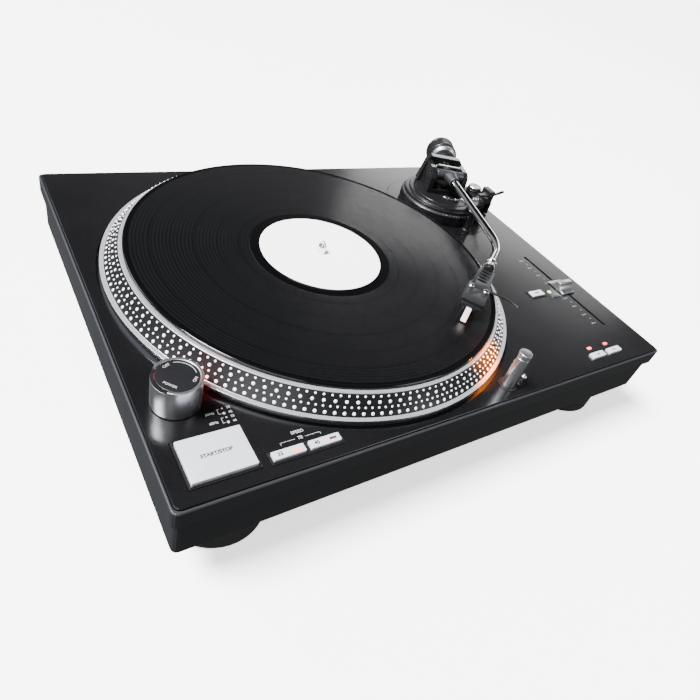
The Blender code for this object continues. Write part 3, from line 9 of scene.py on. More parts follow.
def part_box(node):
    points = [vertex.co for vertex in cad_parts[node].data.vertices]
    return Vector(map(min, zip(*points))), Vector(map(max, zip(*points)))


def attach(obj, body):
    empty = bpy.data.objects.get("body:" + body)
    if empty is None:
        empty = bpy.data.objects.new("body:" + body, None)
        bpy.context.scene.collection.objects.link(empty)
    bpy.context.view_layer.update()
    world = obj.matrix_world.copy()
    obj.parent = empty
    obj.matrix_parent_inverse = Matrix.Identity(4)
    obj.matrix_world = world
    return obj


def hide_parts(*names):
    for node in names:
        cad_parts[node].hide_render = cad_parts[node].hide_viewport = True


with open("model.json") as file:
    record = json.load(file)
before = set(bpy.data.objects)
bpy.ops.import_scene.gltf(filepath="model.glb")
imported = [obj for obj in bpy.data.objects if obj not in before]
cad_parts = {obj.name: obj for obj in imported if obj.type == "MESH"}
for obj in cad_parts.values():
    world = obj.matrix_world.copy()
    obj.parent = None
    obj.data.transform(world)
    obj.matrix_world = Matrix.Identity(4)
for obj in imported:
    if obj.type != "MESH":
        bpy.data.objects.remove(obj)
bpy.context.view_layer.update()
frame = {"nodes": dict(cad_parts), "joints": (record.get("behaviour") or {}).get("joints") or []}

mm = 0.001
turn = 2 * math.pi
joints = {j["name"]: j for j in frame["joints"]}
nodes = frame["nodes"]


def low(node):
    return Vector(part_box(node)[0])


def high(node):
    return Vector(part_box(node)[1])


def middle(node):
    return (low(node) + high(node)) / 2


panelZ = high("top_panel").z
platterAt = Vector((middle("platter").x, middle("platter").y, panelZ))
pivotAt = Vector(joints["arm_tilt"]["pos_m"])
print("frame loaded, panel at", round(panelZ, 4))


# ---- node trees
class Graph:
    def node(self, kind, settings, values):
        made = self.tree.nodes.new(kind)
        for name, value in settings.items():
            setattr(made, name, value)
        for name, value in values.items():
            if isinstance(value, str):  # an input of the group, by its label
                value = self.given.outputs[value]
            value = getattr(value, "socket", value)
            if isinstance(value, bpy.types.NodeSocket):
                self.tree.links.new(value, made.inputs[name])
            else:
                made.inputs[name].default_value = value
        return made


# numbers on sockets that Python can reckon with
class Amount:
    def __init__(self, finish, socket):
        self.finish = finish
        self.socket = socket

    def math(self, operation, *others):
        return self.finish.number("ShaderNodeMath", {"operation": operation}, dict(enumerate((self,) + others)))

    def __add__(self, other):
        return self.math("ADD", other)

    def __sub__(self, other):
        return self.math("SUBTRACT", other)

    def __rsub__(self, other):
        return self.finish.number("ShaderNodeMath", {"operation": "SUBTRACT"}, {0: other, 1: self})

    def __mul__(self, other):
        return self.math("MULTIPLY", other)

    def __truediv__(self, other):
        return self.math("DIVIDE", other)

    def __pow__(self, other):
        return self.math("POWER", other)

    def __abs__(self):
        return self.math("ABSOLUTE")

    __radd__ = __add__
    __rmul__ = __mul__

    def sine(self):
        return self.math("SINE")

    def above(self, edge):
        return self.math("GREATER_THAN", edge)

    def least(self, other):
        return self.math("MINIMUM", other)

    def most(self, other):
        return self.math("MAXIMUM", other)

    def fade(self, start, end):
        return self.finish.number("ShaderNodeMapRange", {"interpolation_type": "SMOOTHSTEP"},
            {"Value": self, "From Min": start, "From Max": end})


class Finish(Graph):
    def __init__(self, name, color, rough, metal=0.0, **fixed):
        self.mat = bpy.data.materials.new(name)
        self.mat.use_nodes = True
        self.tree = self.mat.node_tree
        self.shader = self.tree.nodes["Principled BSDF"]
        self.color = (*color, 1.0)
        self.shader.inputs["Base Color"].default_value = self.color
        self.shader.inputs["Roughness"].default_value = rough
        self.shader.inputs["Metallic"].default_value = metal
        self.mat.diffuse_color = self.color
        self.mat.roughness = rough
        self.mat.metallic = metal
        for socket, value in fixed.items():
            self.shader.inputs[socket.replace("_", " ")].default_value = value

    def number(self, kind, settings, values, output=0):
        return Amount(self, self.node(kind, settings, values).outputs[output])

    def place(self, centre=(0, 0, 0), scale=(1, 1, 1), turned=(0, 0, 0)):
        spot = self.node("ShaderNodeTexCoord", {}, {}).outputs["Object"]
        moved = self.node("ShaderNodeMapping", {}, {"Vector": spot, "Location": [-c for c in centre]})
        return self.node("ShaderNodeMapping", {},
            {"Vector": moved.outputs[0], "Rotation": turned, "Scale": scale}).outputs[0]

    def axes(self, centre=(0, 0, 0)):
        split = self.node("ShaderNodeSeparateXYZ", {}, {0: self.place(centre)})
        return [Amount(self, split.outputs[i]) for i in range(3)]

    def radius(self, centre):
        x, y, z = self.axes(centre)
        return (x * x + y * y) ** 0.5

    def noise(self, scale, detail=2.0, rough=0.5, stretch=(1, 1, 1)):
        return self.number("ShaderNodeTexNoise", {},
            {"Vector": self.place(scale=stretch), "Scale": scale, "Detail": detail, "Roughness": rough})

    def cells(self, scale):
        return self.number("ShaderNodeTexVoronoi", {}, {"Vector": self.place(), "Scale": scale})

    def mix(self, amount, first, second):
        made = self.node("ShaderNodeMix", {"data_type": "RGBA"}, {})
        self.tree.links.new(amount.socket, made.inputs[0])
        for slot, color in ((6, first), (7, second)):
            if isinstance(color, bpy.types.NodeSocket):
                self.tree.links.new(color, made.inputs[slot])
            else:
                made.inputs[slot].default_value = (*color[:3], 1.0)
        return made.outputs[2]

    def feed(self, socket, value):
        self.tree.links.new(value.socket if isinstance(value, Amount) else value, self.shader.inputs[socket])
        return self

    def bump(self, height, depth, strength=1.0):
        made = self.node("ShaderNodeBump", {}, {"Height": height, "Distance": depth, "Strength": strength})
        self.tree.links.new(made.outputs[0], self.shader.inputs["Normal"])
        return self


def grainy(name, color, rough, metal=0.0, grain=1500.0, depth=0.02 * mm, vary=0.08, tint=0.15, **fixed):
    made = Finish(name, color, rough, metal, **fixed)
    fine = made.noise(grain, 3.0, 0.6)
    broad = made.noise(9.0, 4.0, 0.6)
    made.feed("Roughness", rough - vary / 2 + vary * broad)
    lighter = [min(c * (1 + tint) + 0.002, 1.0) for c in color]
    darker = [c * (1 - tint) for c in color]
    made.feed("Base Color", made.mix((fine * 0.5 + broad * 0.5).fade(0.35, 0.65), darker, lighter))
    return made.bump(fine, depth)


panelPaint = grainy("panelPaint", (0.0022, 0.0022, 0.0027), 0.2, 0.0, grain=2600.0, depth=0.0008 * mm,
    vary=0.05, tint=0.1, Specular_IOR_Level=0.4)
bandPaint = grainy("bandPaint", (0.009, 0.01, 0.0125), 0.4, 0.0, grain=1900.0, depth=0.008 * mm, tint=0.12)
trayPaint = grainy("trayPaint", (0.0075, 0.0085, 0.0105), 0.46, 0.0, grain=1500.0, depth=0.012 * mm, tint=0.14)
blackPlastic = grainy("blackPlastic", (0.0045, 0.0045, 0.0055), 0.3, grain=1700.0, depth=0.004 * mm,
    Specular_IOR_Level=0.4)
glossPlastic = grainy("glossPlastic", (0.006, 0.006, 0.0065), 0.14, grain=600.0, depth=0.002 * mm, vary=0.06)
footRubber = grainy("footRubber", (0.012, 0.012, 0.012), 0.75, grain=1200.0, depth=0.04 * mm)
chrome = grainy("chrome", (0.78, 0.79, 0.81), 0.07, 1.0, grain=250.0, depth=0.001 * mm, vary=0.05, tint=0.03)
keySilver = grainy("keySilver", (0.42, 0.43, 0.46), 0.34, 0.12, grain=3200.0, depth=0.006 * mm, tint=0.05)
satinSteel = grainy("satinSteel", (0.5, 0.51, 0.53), 0.32, 1.0, grain=2200.0, depth=0.006 * mm, tint=0.08)
gunmetal = grainy("gunmetal", (0.07, 0.072, 0.08), 0.34, 0.8, grain=3000.0, depth=0.01 * mm, tint=0.2)
shellGrey = grainy("shellGrey", (0.005, 0.0052, 0.006), 0.36, 0.2, grain=3400.0, depth=0.014 * mm, tint=0.25)
darkBronze = grainy("darkBronze", (0.012, 0.007, 0.006), 0.3, 0.7, grain=900.0, depth=0.004 * mm)
paleResin = grainy("paleResin", (0.03, 0.027, 0.026), 0.4, grain=800.0, depth=0.006 * mm)
goldPin = grainy("goldPin", (0.85, 0.5, 0.24), 0.22, 1.0, grain=900.0, depth=0.003 * mm)
printInk = grainy("printInk", (0.3, 0.3, 0.31), 0.5, grain=4000.0, depth=0.002 * mm, tint=0.2)
darkInk = grainy("darkInk", (0.0025, 0.0025, 0.003), 0.75, grain=4000.0, depth=0.002 * mm,
    Specular_IOR_Level=0.12)


def turnedMetal(name, color, rough, centre, pitch, depth, metal=1.0, tint=0.1, **fixed):
    made = Finish(name, color, rough, metal, **fixed)
    r = made.radius(centre)
    uneven = made.noise(420.0, 2.0)
    lines = (r * (turn / pitch) + uneven * 1.6).sine()
    broad = made.noise(14.0, 3.0)
    made.feed("Roughness", rough - 0.05 + 0.1 * broad)
    made.feed("Base Color", made.mix((lines * 0.5 + 0.5) * 0.6 + broad * 0.4,
        [c * (1 - tint) for c in color], [min(1, c * (1 + tint)) for c in color]))
    return made.bump(lines, depth)


platterSilver = turnedMetal("platterSilver", (0.36, 0.365, 0.385), 0.28, platterAt, 0.5 * mm, 0.002 * mm,
    metal=0.6, tint=0.06)
platterEdge = turnedMetal("platterEdge", (0.42, 0.43, 0.46), 0.24, platterAt, 0.5 * mm, 0.001 * mm, tint=0.06)
platterDark = turnedMetal("platterDark", (0.0035, 0.0037, 0.0045), 0.3, platterAt, 0.6 * mm, 0.0006 * mm, metal=0.0,
    Specular_IOR_Level=0.22)
dotSilver = grainy("dotSilver", (0.8, 0.8, 0.82), 0.3, 0.1, grain=900.0, depth=0.002 * mm, tint=0.03)


def lampFinish(name, color, glow, centre, reach):
    made = Finish(name, color, 0.2, 0.0, Coat_Weight=0.5, Coat_Roughness=0.1, Emission_Strength=glow)
    x, y, z = made.axes(centre)
    away = (x * x + y * y + z * z) ** 0.5
    facet = made.noise(1400.0, 1.0)
    hot = 1 - (away + facet * reach * 0.2).fade(0.0, reach)
    made.feed("Emission Color", made.mix(hot, color, [c * 0.4 + 0.6 for c in color]))
    made.feed("Roughness", 0.16 + 0.1 * facet)
    return made.bump(facet, 0.01 * mm)


grooves = {"pitch": 0.42 * mm, "inner": 0.058, "outer": 0.1462, "gaps": (0.066, 0.083, 0.1005, 0.1175, 0.1325),
    "gapHalf": 0.45 * mm}


def vinylFinish(g):
    made = Finish("vinyl", (0.002, 0.002, 0.0024), 0.15, 0.0, Specular_IOR_Level=0.35)
    r = made.radius(platterAt)
    x, y, z = made.axes(platterAt)
    wobble = made.noise(60.0, 2.0) * 2.2
    cut = (r * (turn / g["pitch"]) + wobble).sine()
    coarse = (r * (turn / (g["pitch"] * 6.3)) + wobble * 2).sine()
    played = r.above(g["inner"]) * (1 - r.above(g["outer"]))
    gap = 0
    for at in g["gaps"]:
        gap = (1 - (abs(r - at) / g["gapHalf"]).least(1)) + gap
    cutHere = played * (1 - gap.least(1))
    loud = made.noise(38.0, 3.0)
    made.feed("Roughness", 0.1 + 0.08 * cutHere + 0.06 * loud * cutHere)
    made.feed("Base Color", made.mix((coarse * 0.5 + 0.5) * cutHere, (0.0012, 0.0013, 0.0016), (0.003, 0.0031, 0.0036)))
    return made.bump(cutHere * (cut + coarse * 0.5), 0.007 * mm)


vinyl = vinylFinish(grooves)


def paperFinish():
    made = Finish("labelPaper", (0.84, 0.84, 0.84), 0.62)
    fibre = made.noise(1800.0, 4.0, 0.7)
    r = made.radius(platterAt)
    pressed = 1 - (abs(r - 0.0357) / 0.5 / mm).least(1)
    made.feed("Base Color", made.mix(fibre * 0.6 + pressed * 0.3, (0.89, 0.89, 0.885), (0.8, 0.8, 0.79)))
    made.feed("Roughness", 0.55 + 0.15 * fibre)
    return made.bump(fibre - pressed, 0.02 * mm)


labelPaper = paperFinish()


def feltFinish():
    made = Finish("matFelt", (0.02, 0.021, 0.023), 0.95, Sheen_Weight=0.4)
    fluff = made.noise(2200.0, 4.0, 0.8)
    clump = made.cells(500.0)
    made.feed("Base Color", made.mix(fluff, (0.01, 0.01, 0.012), (0.045, 0.046, 0.05)))
    return made.bump(fluff + clump * 0.5, 0.15 * mm)


def boardFinish():
    made = Finish("boardGreen", (0.02, 0.13, 0.05), 0.3, Coat_Weight=0.6)
    x, y, z = made.axes()
    tracks = ((x * 1900).sine() * 0.5 + 0.5).above(0.82).most(((y * 1500).sine() * 0.5 + 0.5).above(0.88))
    patch = made.noise(60.0, 1.0).above(0.5)
    made.feed("Base Color", made.mix(tracks * patch, (0.012, 0.1, 0.035), (0.06, 0.28, 0.1)))
    return made.bump(tracks * patch, 0.03 * mm)


def coreFinish():
    made = Finish("laminatedSteel", (0.42, 0.42, 0.43), 0.4, 0.9)
    x, y, z = made.axes()
    sheets = (z * (turn / (0.7 * mm))).sine()
    stain = made.noise(30.0, 4.0)
    made.feed("Base Color", made.mix(stain, (0.3, 0.3, 0.31), (0.55, 0.54, 0.52)))
    made.feed("Roughness", 0.3 + 0.25 * stain)
    return made.bump(sheets, 0.05 * mm)


def ferriteFinish():
    made = Finish("ferrite", (0.07, 0.07, 0.075), 0.6)
    speck = made.cells(2500.0)
    made.feed("Base Color", made.mix(speck, (0.05, 0.05, 0.055), (0.11, 0.11, 0.12)))
    return made.bump(speck, 0.02 * mm)


matFelt = feltFinish()
boardGreen = boardFinish()
laminatedSteel = coreFinish()
ferrite = ferriteFinish()
print("finishes made")


# ---- mesh helpers
def placed(name, data):
    obj = bpy.data.objects.new(name, data)
    bpy.context.scene.collection.objects.link(obj)
    return obj


def frozen(holder, *others):
    view = bpy.context.evaluated_depsgraph_get()
    view.update()
    mesh = bpy.data.meshes.new_from_object(holder.evaluated_get(view), depsgraph=view)
    for obj in (*others, holder):
        bpy.data.objects.remove(obj)
    return mesh


def keep(name, mesh, finishes, body, *stands, slot=None, smooth=35.0):
    for finish in finishes:
        mesh.materials.append(finish.mat)
    obj = placed(name, mesh)
    if smooth:
        mesh.shade_smooth()
        mesh.set_sharp_from_angle(angle=math.radians(smooth))
    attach(obj, body)
    if stands:
        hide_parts(*stands)
    return obj


def fillet(points, cutBack, closed=False, steps=3):
    out = []
    count = len(points)
    for i, point in enumerate(points):
        if not closed and i in (0, count - 1):
            out.append(tuple(point))
            continue
        here = Vector(point)
        toBack = Vector(points[i - 1]) - here
        toNext = Vector(points[(i + 1) % count]) - here
        reach = min(cutBack, toBack.length * 0.45, toNext.length * 0.45)
        first = here + toBack.normalized() * reach
        last = here + toNext.normalized() * reach
        for k in range(steps + 1):
            t = k / steps
            out.append(tuple(first * (1 - t) ** 2 + here * 2 * t * (1 - t) + last * t * t))
    return out


def strip(bm, first, second, slot=0):
    count = max(len(first), len(second))
    for i in range(count):
        j = (i + 1) % count
        if len(first) == 1:
            face = bm.faces.new((first[0], second[j], second[i]))
        elif len(second) == 1:
            face = bm.faces.new((first[i], first[j], second[0]))
        else:
            face = bm.faces.new((first[i], first[j], second[j], second[i]))
        face.material_index = slot


def lathe(profile, segments=160, closed=False, slots=None, shape=None):
    bm = bmesh.new()
    rows = []
    for r, z in profile:
        if r < 1e-7:
            rows.append([bm.verts.new((0, 0, z))])
            continue
        row = []
        for i in range(segments):
            a = turn * i / segments
            reach = r * (shape(a) if shape else 1.0)
            row.append(bm.verts.new((reach * math.cos(a), reach * math.sin(a), z)))
        rows.append(row)
    for i in range(len(rows) - 1 + closed):
        strip(bm, rows[i], rows[(i + 1) % len(rows)], slots(i, profile) if slots else 0)
    bmesh.ops.recalc_face_normals(bm, faces=bm.faces)
    mesh = bpy.data.meshes.new("turned")
    bm.to_mesh(mesh)
    bm.free()
    return mesh


def spun(profile, cut, segments, closed=False, **more):
    return lathe(fillet(profile, cut, closed), segments, closed, **more)


def outline(halfX, halfY, corner, steps=6):
    points = []
    for cx, cy, start in ((1, -1, -90), (1, 1, 0), (-1, 1, 90), (-1, -1, 180)):
        for i in range(steps + 1):
            a = math.radians(start + 90 * i / steps)
            points.append((cx * (halfX - corner) + corner * math.cos(a), cy * (halfY - corner) + corner * math.sin(a)))
    return points


def loft(rings, caps=True, closed=False):
    bm = bmesh.new()
    rows = [[bm.verts.new(p) for p in ring] for ring in rings]
    for i in range(len(rows) - 1 + closed):
        strip(bm, rows[i], rows[(i + 1) % len(rows)])
    if caps and not closed:
        bm.faces.new(list(reversed(rows[0])))
        bm.faces.new(rows[-1])
    bmesh.ops.recalc_face_normals(bm, faces=bm.faces)
    mesh = bpy.data.meshes.new("lofted")
    bm.to_mesh(mesh)
    bm.free()
    return mesh


def softSlab(halfX, halfY, z0, z1, corner, edge, dish=0.0, bottomEdge=None):
    rings = []
    base = edge if bottomEdge is None else bottomEdge
    for k in range(4):
        a = math.pi / 2 * k / 3
        inset = base * (1 - math.sin(a))
        rings.append([(x, y, z0 + base * (1 - math.cos(a))) for x, y in
            outline(halfX - inset, halfY - inset, max(corner - inset, 0.05 * mm))])
    for k in range(5):
        a = math.pi / 2 * k / 4
        inset = edge * (1 - math.cos(a))
        rings.append([(x, y, z1 - edge * (1 - math.sin(a))) for x, y in
            outline(halfX - inset, halfY - inset, max(corner - inset, 0.05 * mm))])
    if dish:
        inset = edge + 1.2 * mm
        rings.append([(x, y, z1 - dish) for x, y in
            outline(halfX - inset, halfY - inset, max(corner - inset, 0.05 * mm))])
    return loft(rings)


def moved(mesh, matrix):
    mesh.transform(matrix)
    return mesh


def at(point):
    return Matrix.Translation(Vector(point))


def under(point, z=0.0):
    return at((point.x, point.y, z))


def along(point, direction, up=(0, 0, 1)):
    z = Vector(direction).normalized()
    x = Vector(up).cross(z).normalized()
    y = z.cross(x)
    return at(point) @ Matrix((x, y, z)).transposed().to_4x4()


def joined(*meshes):
    bm = bmesh.new()
    for mesh in meshes:
        bm.from_mesh(mesh)
    out = bpy.data.meshes.new("joined")
    bm.to_mesh(out)
    bm.free()
    return out


def carve(mesh, *cutters):
    body = placed("carveBody", mesh)
    tools = [placed("carveTool", cutter) for cutter in cutters]
    for tool in tools:
        step = body.modifiers.new("carve", "BOOLEAN")
        step.operation = "DIFFERENCE"
        step.solver = "EXACT"
        step.object = tool
    return frozen(body, *tools)


# ---- geometry node helpers
class Growth(Graph):
    def __init__(self, name, **inputs):
        self.tree = bpy.data.node_groups.new(name, "GeometryNodeTree")
        self.tree.interface.new_socket(name="Geometry", in_out="OUTPUT", socket_type="NodeSocketGeometry")
        self.tree.interface.new_socket(name="Geometry", in_out="INPUT", socket_type="NodeSocketGeometry")
        for label, kind in inputs.items():
            self.tree.interface.new_socket(name=label, in_out="INPUT", socket_type="NodeSocket" + kind)
        self.given = self.tree.nodes.new("NodeGroupInput")

    def get(self, kind, settings=None, **values):
        return self.node(kind, settings or {}, {name.replace("_", " "): v for name, v in values.items()}).outputs[0]

    def maths(self, operation, *values):
        return self.node("ShaderNodeMath", {"operation": operation}, dict(enumerate(values))).outputs[0]

    def end(self, geometry):
        solid = self.get("GeometryNodeRealizeInstances", Geometry=geometry)
        self.tree.links.new(solid, self.tree.nodes.new("NodeGroupOutput").inputs[0])
        return self


def grow(growth, base=None, **values):
    holder = placed("holder", base or bpy.data.meshes.new("seed"))
    step = holder.modifiers.new("growth", "NODES")
    step.node_group = growth.tree
    for item in growth.tree.interface.items_tree:
        if item.item_type == "SOCKET" and item.in_out == "INPUT" and item.name in values:
            step[item.identifier] = values[item.name]
    mesh = frozen(holder)
    mesh.materials.clear()
    return mesh


def ringTree(name, round):
    g = Growth(name, Count="Int", Ring="Float", Lift="Float", Lean="Float", Start="Float", Size="Vector")
    line = g.get("GeometryNodeMeshLine", Count="Count")
    index = g.get("GeometryNodeInputIndex")
    spin = g.maths("ADD", g.maths("MULTIPLY", g.maths("DIVIDE", index, "Count"), turn), "Start")
    where = g.get("ShaderNodeCombineXYZ", X=g.maths("MULTIPLY", "Ring", g.maths("COSINE", spin)),
        Y=g.maths("MULTIPLY", "Ring", g.maths("SINE", spin)), Z="Lift")
    points = g.get("GeometryNodeSetPosition", Geometry=line, Position=where)
    if round:
        piece = g.get("GeometryNodeMeshUVSphere", Segments=12, Rings=6, Radius=1.0)
    else:
        piece = g.get("GeometryNodeMeshCube")
    piece = g.get("GeometryNodeTransform", Geometry=piece, Scale="Size")
    if round:
        piece = g.get("GeometryNodeSetShadeSmooth", Geometry=piece)
    angles = g.get("ShaderNodeCombineXYZ", Y="Lean", Z=spin)
    rotation = g.node("FunctionNodeEulerToRotation", {}, {0: angles}).outputs[0]
    return g.end(g.get("GeometryNodeInstanceOnPoints", Points=points, Instance=piece, Rotation=rotation))


def rowTree():
    g = Growth("rowOfBars", Count="Int", From="Vector", Step="Vector", Size="Vector")
    line = g.get("GeometryNodeMeshLine", Count="Count", Start_Location="From", Offset="Step")
    piece = g.get("GeometryNodeMeshCube", Size="Size")
    return g.end(g.get("GeometryNodeInstanceOnPoints", Points=line, Instance=piece))


def tubeTree():
    g = Growth("tubeOnPath", Radius="Float", Sides="Int")
    section = g.get("GeometryNodeCurvePrimitiveCircle", Radius="Radius", Resolution="Sides")
    return g.end(g.get("GeometryNodeCurveToMesh", Curve="Geometry", Profile_Curve=section, Fill_Caps=True))


studs, bars, rows, tubes = ringTree("ringOfStuds", True), ringTree("ringOfBars", False), rowTree(), tubeTree()


def barRing(count, ring, lift, size):
    return grow(bars, Count=count, Ring=ring, Lift=lift, Size=size)


def tubeAlong(points, radius, sides=24):
    path = bpy.data.curves.new("path", "CURVE")
    path.dimensions = "3D"
    spline = path.splines.new("POLY")
    spline.points.add(len(points) - 1)
    for spot, point in zip(spline.points, points):
        spot.co = (*point, 1.0)
    return grow(tubes, path, Radius=radius, Sides=sides)


def lettering(words, size, matrix, thick=0.04 * mm, bold=0.0):
    text = bpy.data.curves.new("words", "FONT")
    text.body = words
    text.size = size / 0.7  # the font's capitals are 0.7 of its size
    text.offset = bold * size
    text.align_x = "CENTER"
    text.align_y = "CENTER"
    text.extrude = thick
    text.resolution_u = 3
    mesh = frozen(placed("words", text))
    mesh.materials.clear()
    return moved(mesh, matrix)


def flatTurn(point, angle=0.0):
    return at(point) @ Matrix.Rotation(angle, 4, "Z")


def bar(x0, y0, x1, y1, wide, z0, z1):
    spot = Vector((x0, y0, 0))
    run = Vector((x1, y1, 0)) - spot
    side = Vector((-run.y, run.x, 0)).normalized() * wide / 2
    base = [spot + side, spot - side, spot + run - side, spot + run + side]
    return loft([[(p.x, p.y, z) for p in base] for z in (z0, z1)])


def soften(obj, width, segments, angle):
    obj.modifiers.new("weld", "WELD").merge_threshold = 0.01 * mm
    edges = obj.modifiers.new("edges", "BEVEL")
    edges.width = width
    edges.segments = segments
    edges.limit_method = "ANGLE"
    edges.angle_limit = math.radians(angle)


def rounded(mesh, width, segments=2, angle=32.0):
    holder = placed("edging", mesh)
    soften(holder, width, segments, angle)
    return frozen(holder)


def cadFinish(names, finish, edge=0.0):
    for name in names:
        obj = nodes[name]
        obj.data.materials.clear()
        obj.data.materials.append(finish.mat)
        if edge:
            soften(obj, edge, 2, 38)


# ---- cabinet and hidden parts
cadFinish(["cabinet_frame"], bandPaint, 0.45 * mm)
cadFinish(["top_panel"], panelPaint, 0.12 * mm)
cadFinish(["base_tray"], trayPaint, 0.6 * mm)
cadFinish(["arm_plate"], panelPaint, 0.15 * mm)
cadFinish(["start_stop_bezel", "speed_bezel", "reset_bezel"], glossPlastic, 0.2 * mm)
cadFinish(["target_socket", "pitch_track", "output_panel", "mains_inlet"], blackPlastic, 0.15 * mm)
cadFinish(["main_board"], boardGreen)
cadFinish(["transformer", "motor_stator"], laminatedSteel)
cadFinish(["rotor_magnet"], ferrite)
cadFinish(["slipmat"], matFelt)
print("cabinet painted")

foot = {"radius": 35.0 * mm, "groove": 2.2 * mm, "ribs": 5}


def footMesh(f, node):
    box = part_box(node)
    top = low("base_tray").z - 0.3 * mm
    r = f["radius"]
    profile = [(0, 0), (r - 9 * mm, 0), (r - 9 * mm, 0.8 * mm), (r - 7 * mm, 0.8 * mm), (r - 7 * mm, 0),
        (r - 3 * mm, 0), (r, 3 * mm)]
    step = (top * 0.42 - 3 * mm) / f["ribs"]
    for k in range(f["ribs"]):
        z = 3 * mm + step * k
        profile += [(r, z + step * 0.7), (r - 0.7 * mm, z + step * 0.85), (r, z + step)]
    profile += [(r - f["groove"], top * 0.5), (r - f["groove"], top * 0.56), (r, top * 0.6), (r, top - 2.5 * mm),
        (r - 2.5 * mm, top), (4 * mm, top), (4 * mm, box[1][2]), (0, box[1][2])]
    centre = middle(node)
    return moved(lathe(fillet(profile, 0.5 * mm, steps=2), 96), under(centre))


for corner in ("front_left", "front_right", "rear_left", "rear_right"):
    keep("foot" + corner.title().replace("_", ""), footMesh(foot, "foot_" + corner), [footRubber], "chassis",
        "foot_" + corner, slot="foot_rubber")

# ---- platter, record, spindle
platter = {"radius": 166.0 * mm, "flange": 163.0 * mm, "flangeTop": 5.0 * mm, "rimOuter": 153.3 * mm,
    "rimInner": 150.2 * mm, "rimTop": 17.2 * mm, "face": 16.0 * mm, "disc": 5.0 * mm, "bore": 3.9 * mm,
    "low": 1.0 * mm, "wall": 5.0 * mm}
dotRows = [  # count, share of the way up the flank, half width round the rim, half width up the flank
    (160, 0.155, 1.15 * mm, 1.15 * mm),
    (216, 0.405, 0.76 * mm, 0.76 * mm),
    (133, 0.625, 1.15 * mm, 1.15 * mm),
    (180, 0.86, 0.8 * mm, 0.8 * mm)]
dotTurn = 0.013  # each row starts a little further round
dotRaise = 0.42 * mm


def platterMesh(p):
    inside = p["flange"] - p["wall"]
    profile = [(p["bore"], p["face"] - p["disc"]), (inside - 12 * mm, p["face"] - p["disc"]),
        (inside, p["face"] - p["disc"] - 5 * mm), (inside, p["low"]), (p["radius"], p["low"]),
        (p["radius"], p["flangeTop"]), (p["flange"], p["flangeTop"]), (p["rimOuter"], p["rimTop"] - 0.8 * mm),
        (p["rimOuter"] - 0.2 * mm, p["rimTop"]), (p["rimInner"], p["rimTop"]), (p["rimInner"], p["face"]),
        (p["bore"], p["face"])]

    def part(i, points):
        (r0, z0), (r1, z1) = points[i], points[(i + 1) % len(points)]
        flank = p["rimOuter"] - 0.02 * mm < min(r0, r1) and max(r0, r1) < p["flange"] + 0.02 * mm and z0 > p["low"] * 3
        if min(r0, r1) > p["radius"] - 0.25 * mm:
            return 2
        return 1 if flank and max(z0, z1) < p["rimTop"] - 0.4 * mm else 0
    return moved(spun(profile, 0.35 * mm, 288, closed=True, slots=part), at(platterAt))


keep("platterBody", platterMesh(platter), [platterSilver, platterDark, platterEdge], "platter",
    "platter", slot="platter_silver")

rise = platter["rimTop"] - platter["flangeTop"]
inward = platter["flange"] - platter["rimOuter"]
lean = math.atan2(rise, inward)
for i, (count, share, wide, tall) in enumerate(dotRows):
    ring = platter["flange"] - inward * share
    mesh = grow(studs, Count=count, Ring=ring, Lift=platter["flangeTop"] + rise * share, Lean=lean,
        Start=dotTurn * i, Size=(tall, wide, dotRaise))
    keep(f"strobeDots{i + 1}", moved(mesh, at(platterAt)), [dotSilver], "platter", slot="platter_silver", smooth=60)

record = {"radius": 150.5 * mm, "bead": 2.5 * mm, "hole": 3.9 * mm, "labelRadius": 50.0 * mm}
recordLow, recordHigh = low("record").z, high("record").z
r = record["radius"]
top = recordHigh - 0.3 * mm
profile = [(record["hole"], recordLow), (r - 0.6 * mm, recordLow), (r, recordLow + 0.6 * mm),
    (r, recordHigh - 0.6 * mm),
    (r - 0.7 * mm, recordHigh), (r - record["bead"], top), (0.0585, top), (0.0575, top - 0.12 * mm),
    (0.0505, top - 0.12 * mm), (0.05, top), (record["hole"], top)]
spot = (platterAt.x, platterAt.y, 0)
keep("recordDisc", moved(spun(profile, 0.3 * mm, 256, closed=True), at(spot)), [vinyl],
    "platter", "record", slot="vinyl")
z0, z1 = low("record_label").z, high("record_label").z
profile = [(record["hole"], z0), (record["labelRadius"], z0), (record["labelRadius"], z1 - 0.05 * mm),
    (record["labelRadius"] - 0.4 * mm, z1), (record["hole"], z1)]
keep("labelDisc", moved(spun(profile, 0.08 * mm, 192, closed=True), at(spot)), [labelPaper],
    "platter", "record_label", slot="label_paper")
tip, base = high("spindle").z, low("spindle").z
hubZ = low("rotor_magnet").z + 8 * mm
profile = [(0, base), (3.6 * mm, base), (3.6 * mm, hubZ - 2.5 * mm), (14 * mm, hubZ - 2.5 * mm), (14 * mm, hubZ),
    (3.6 * mm, hubZ), (3.6 * mm, tip - 4.6 * mm), (3.2 * mm, tip - 3.6 * mm), (1.3 * mm, tip - 0.7 * mm), (0, tip)]
keep("spindlePin", moved(spun(profile, 0.5 * mm, 64), at(spot)), [chrome], "platter", "spindle", slot="chrome")
print("platter and record made")

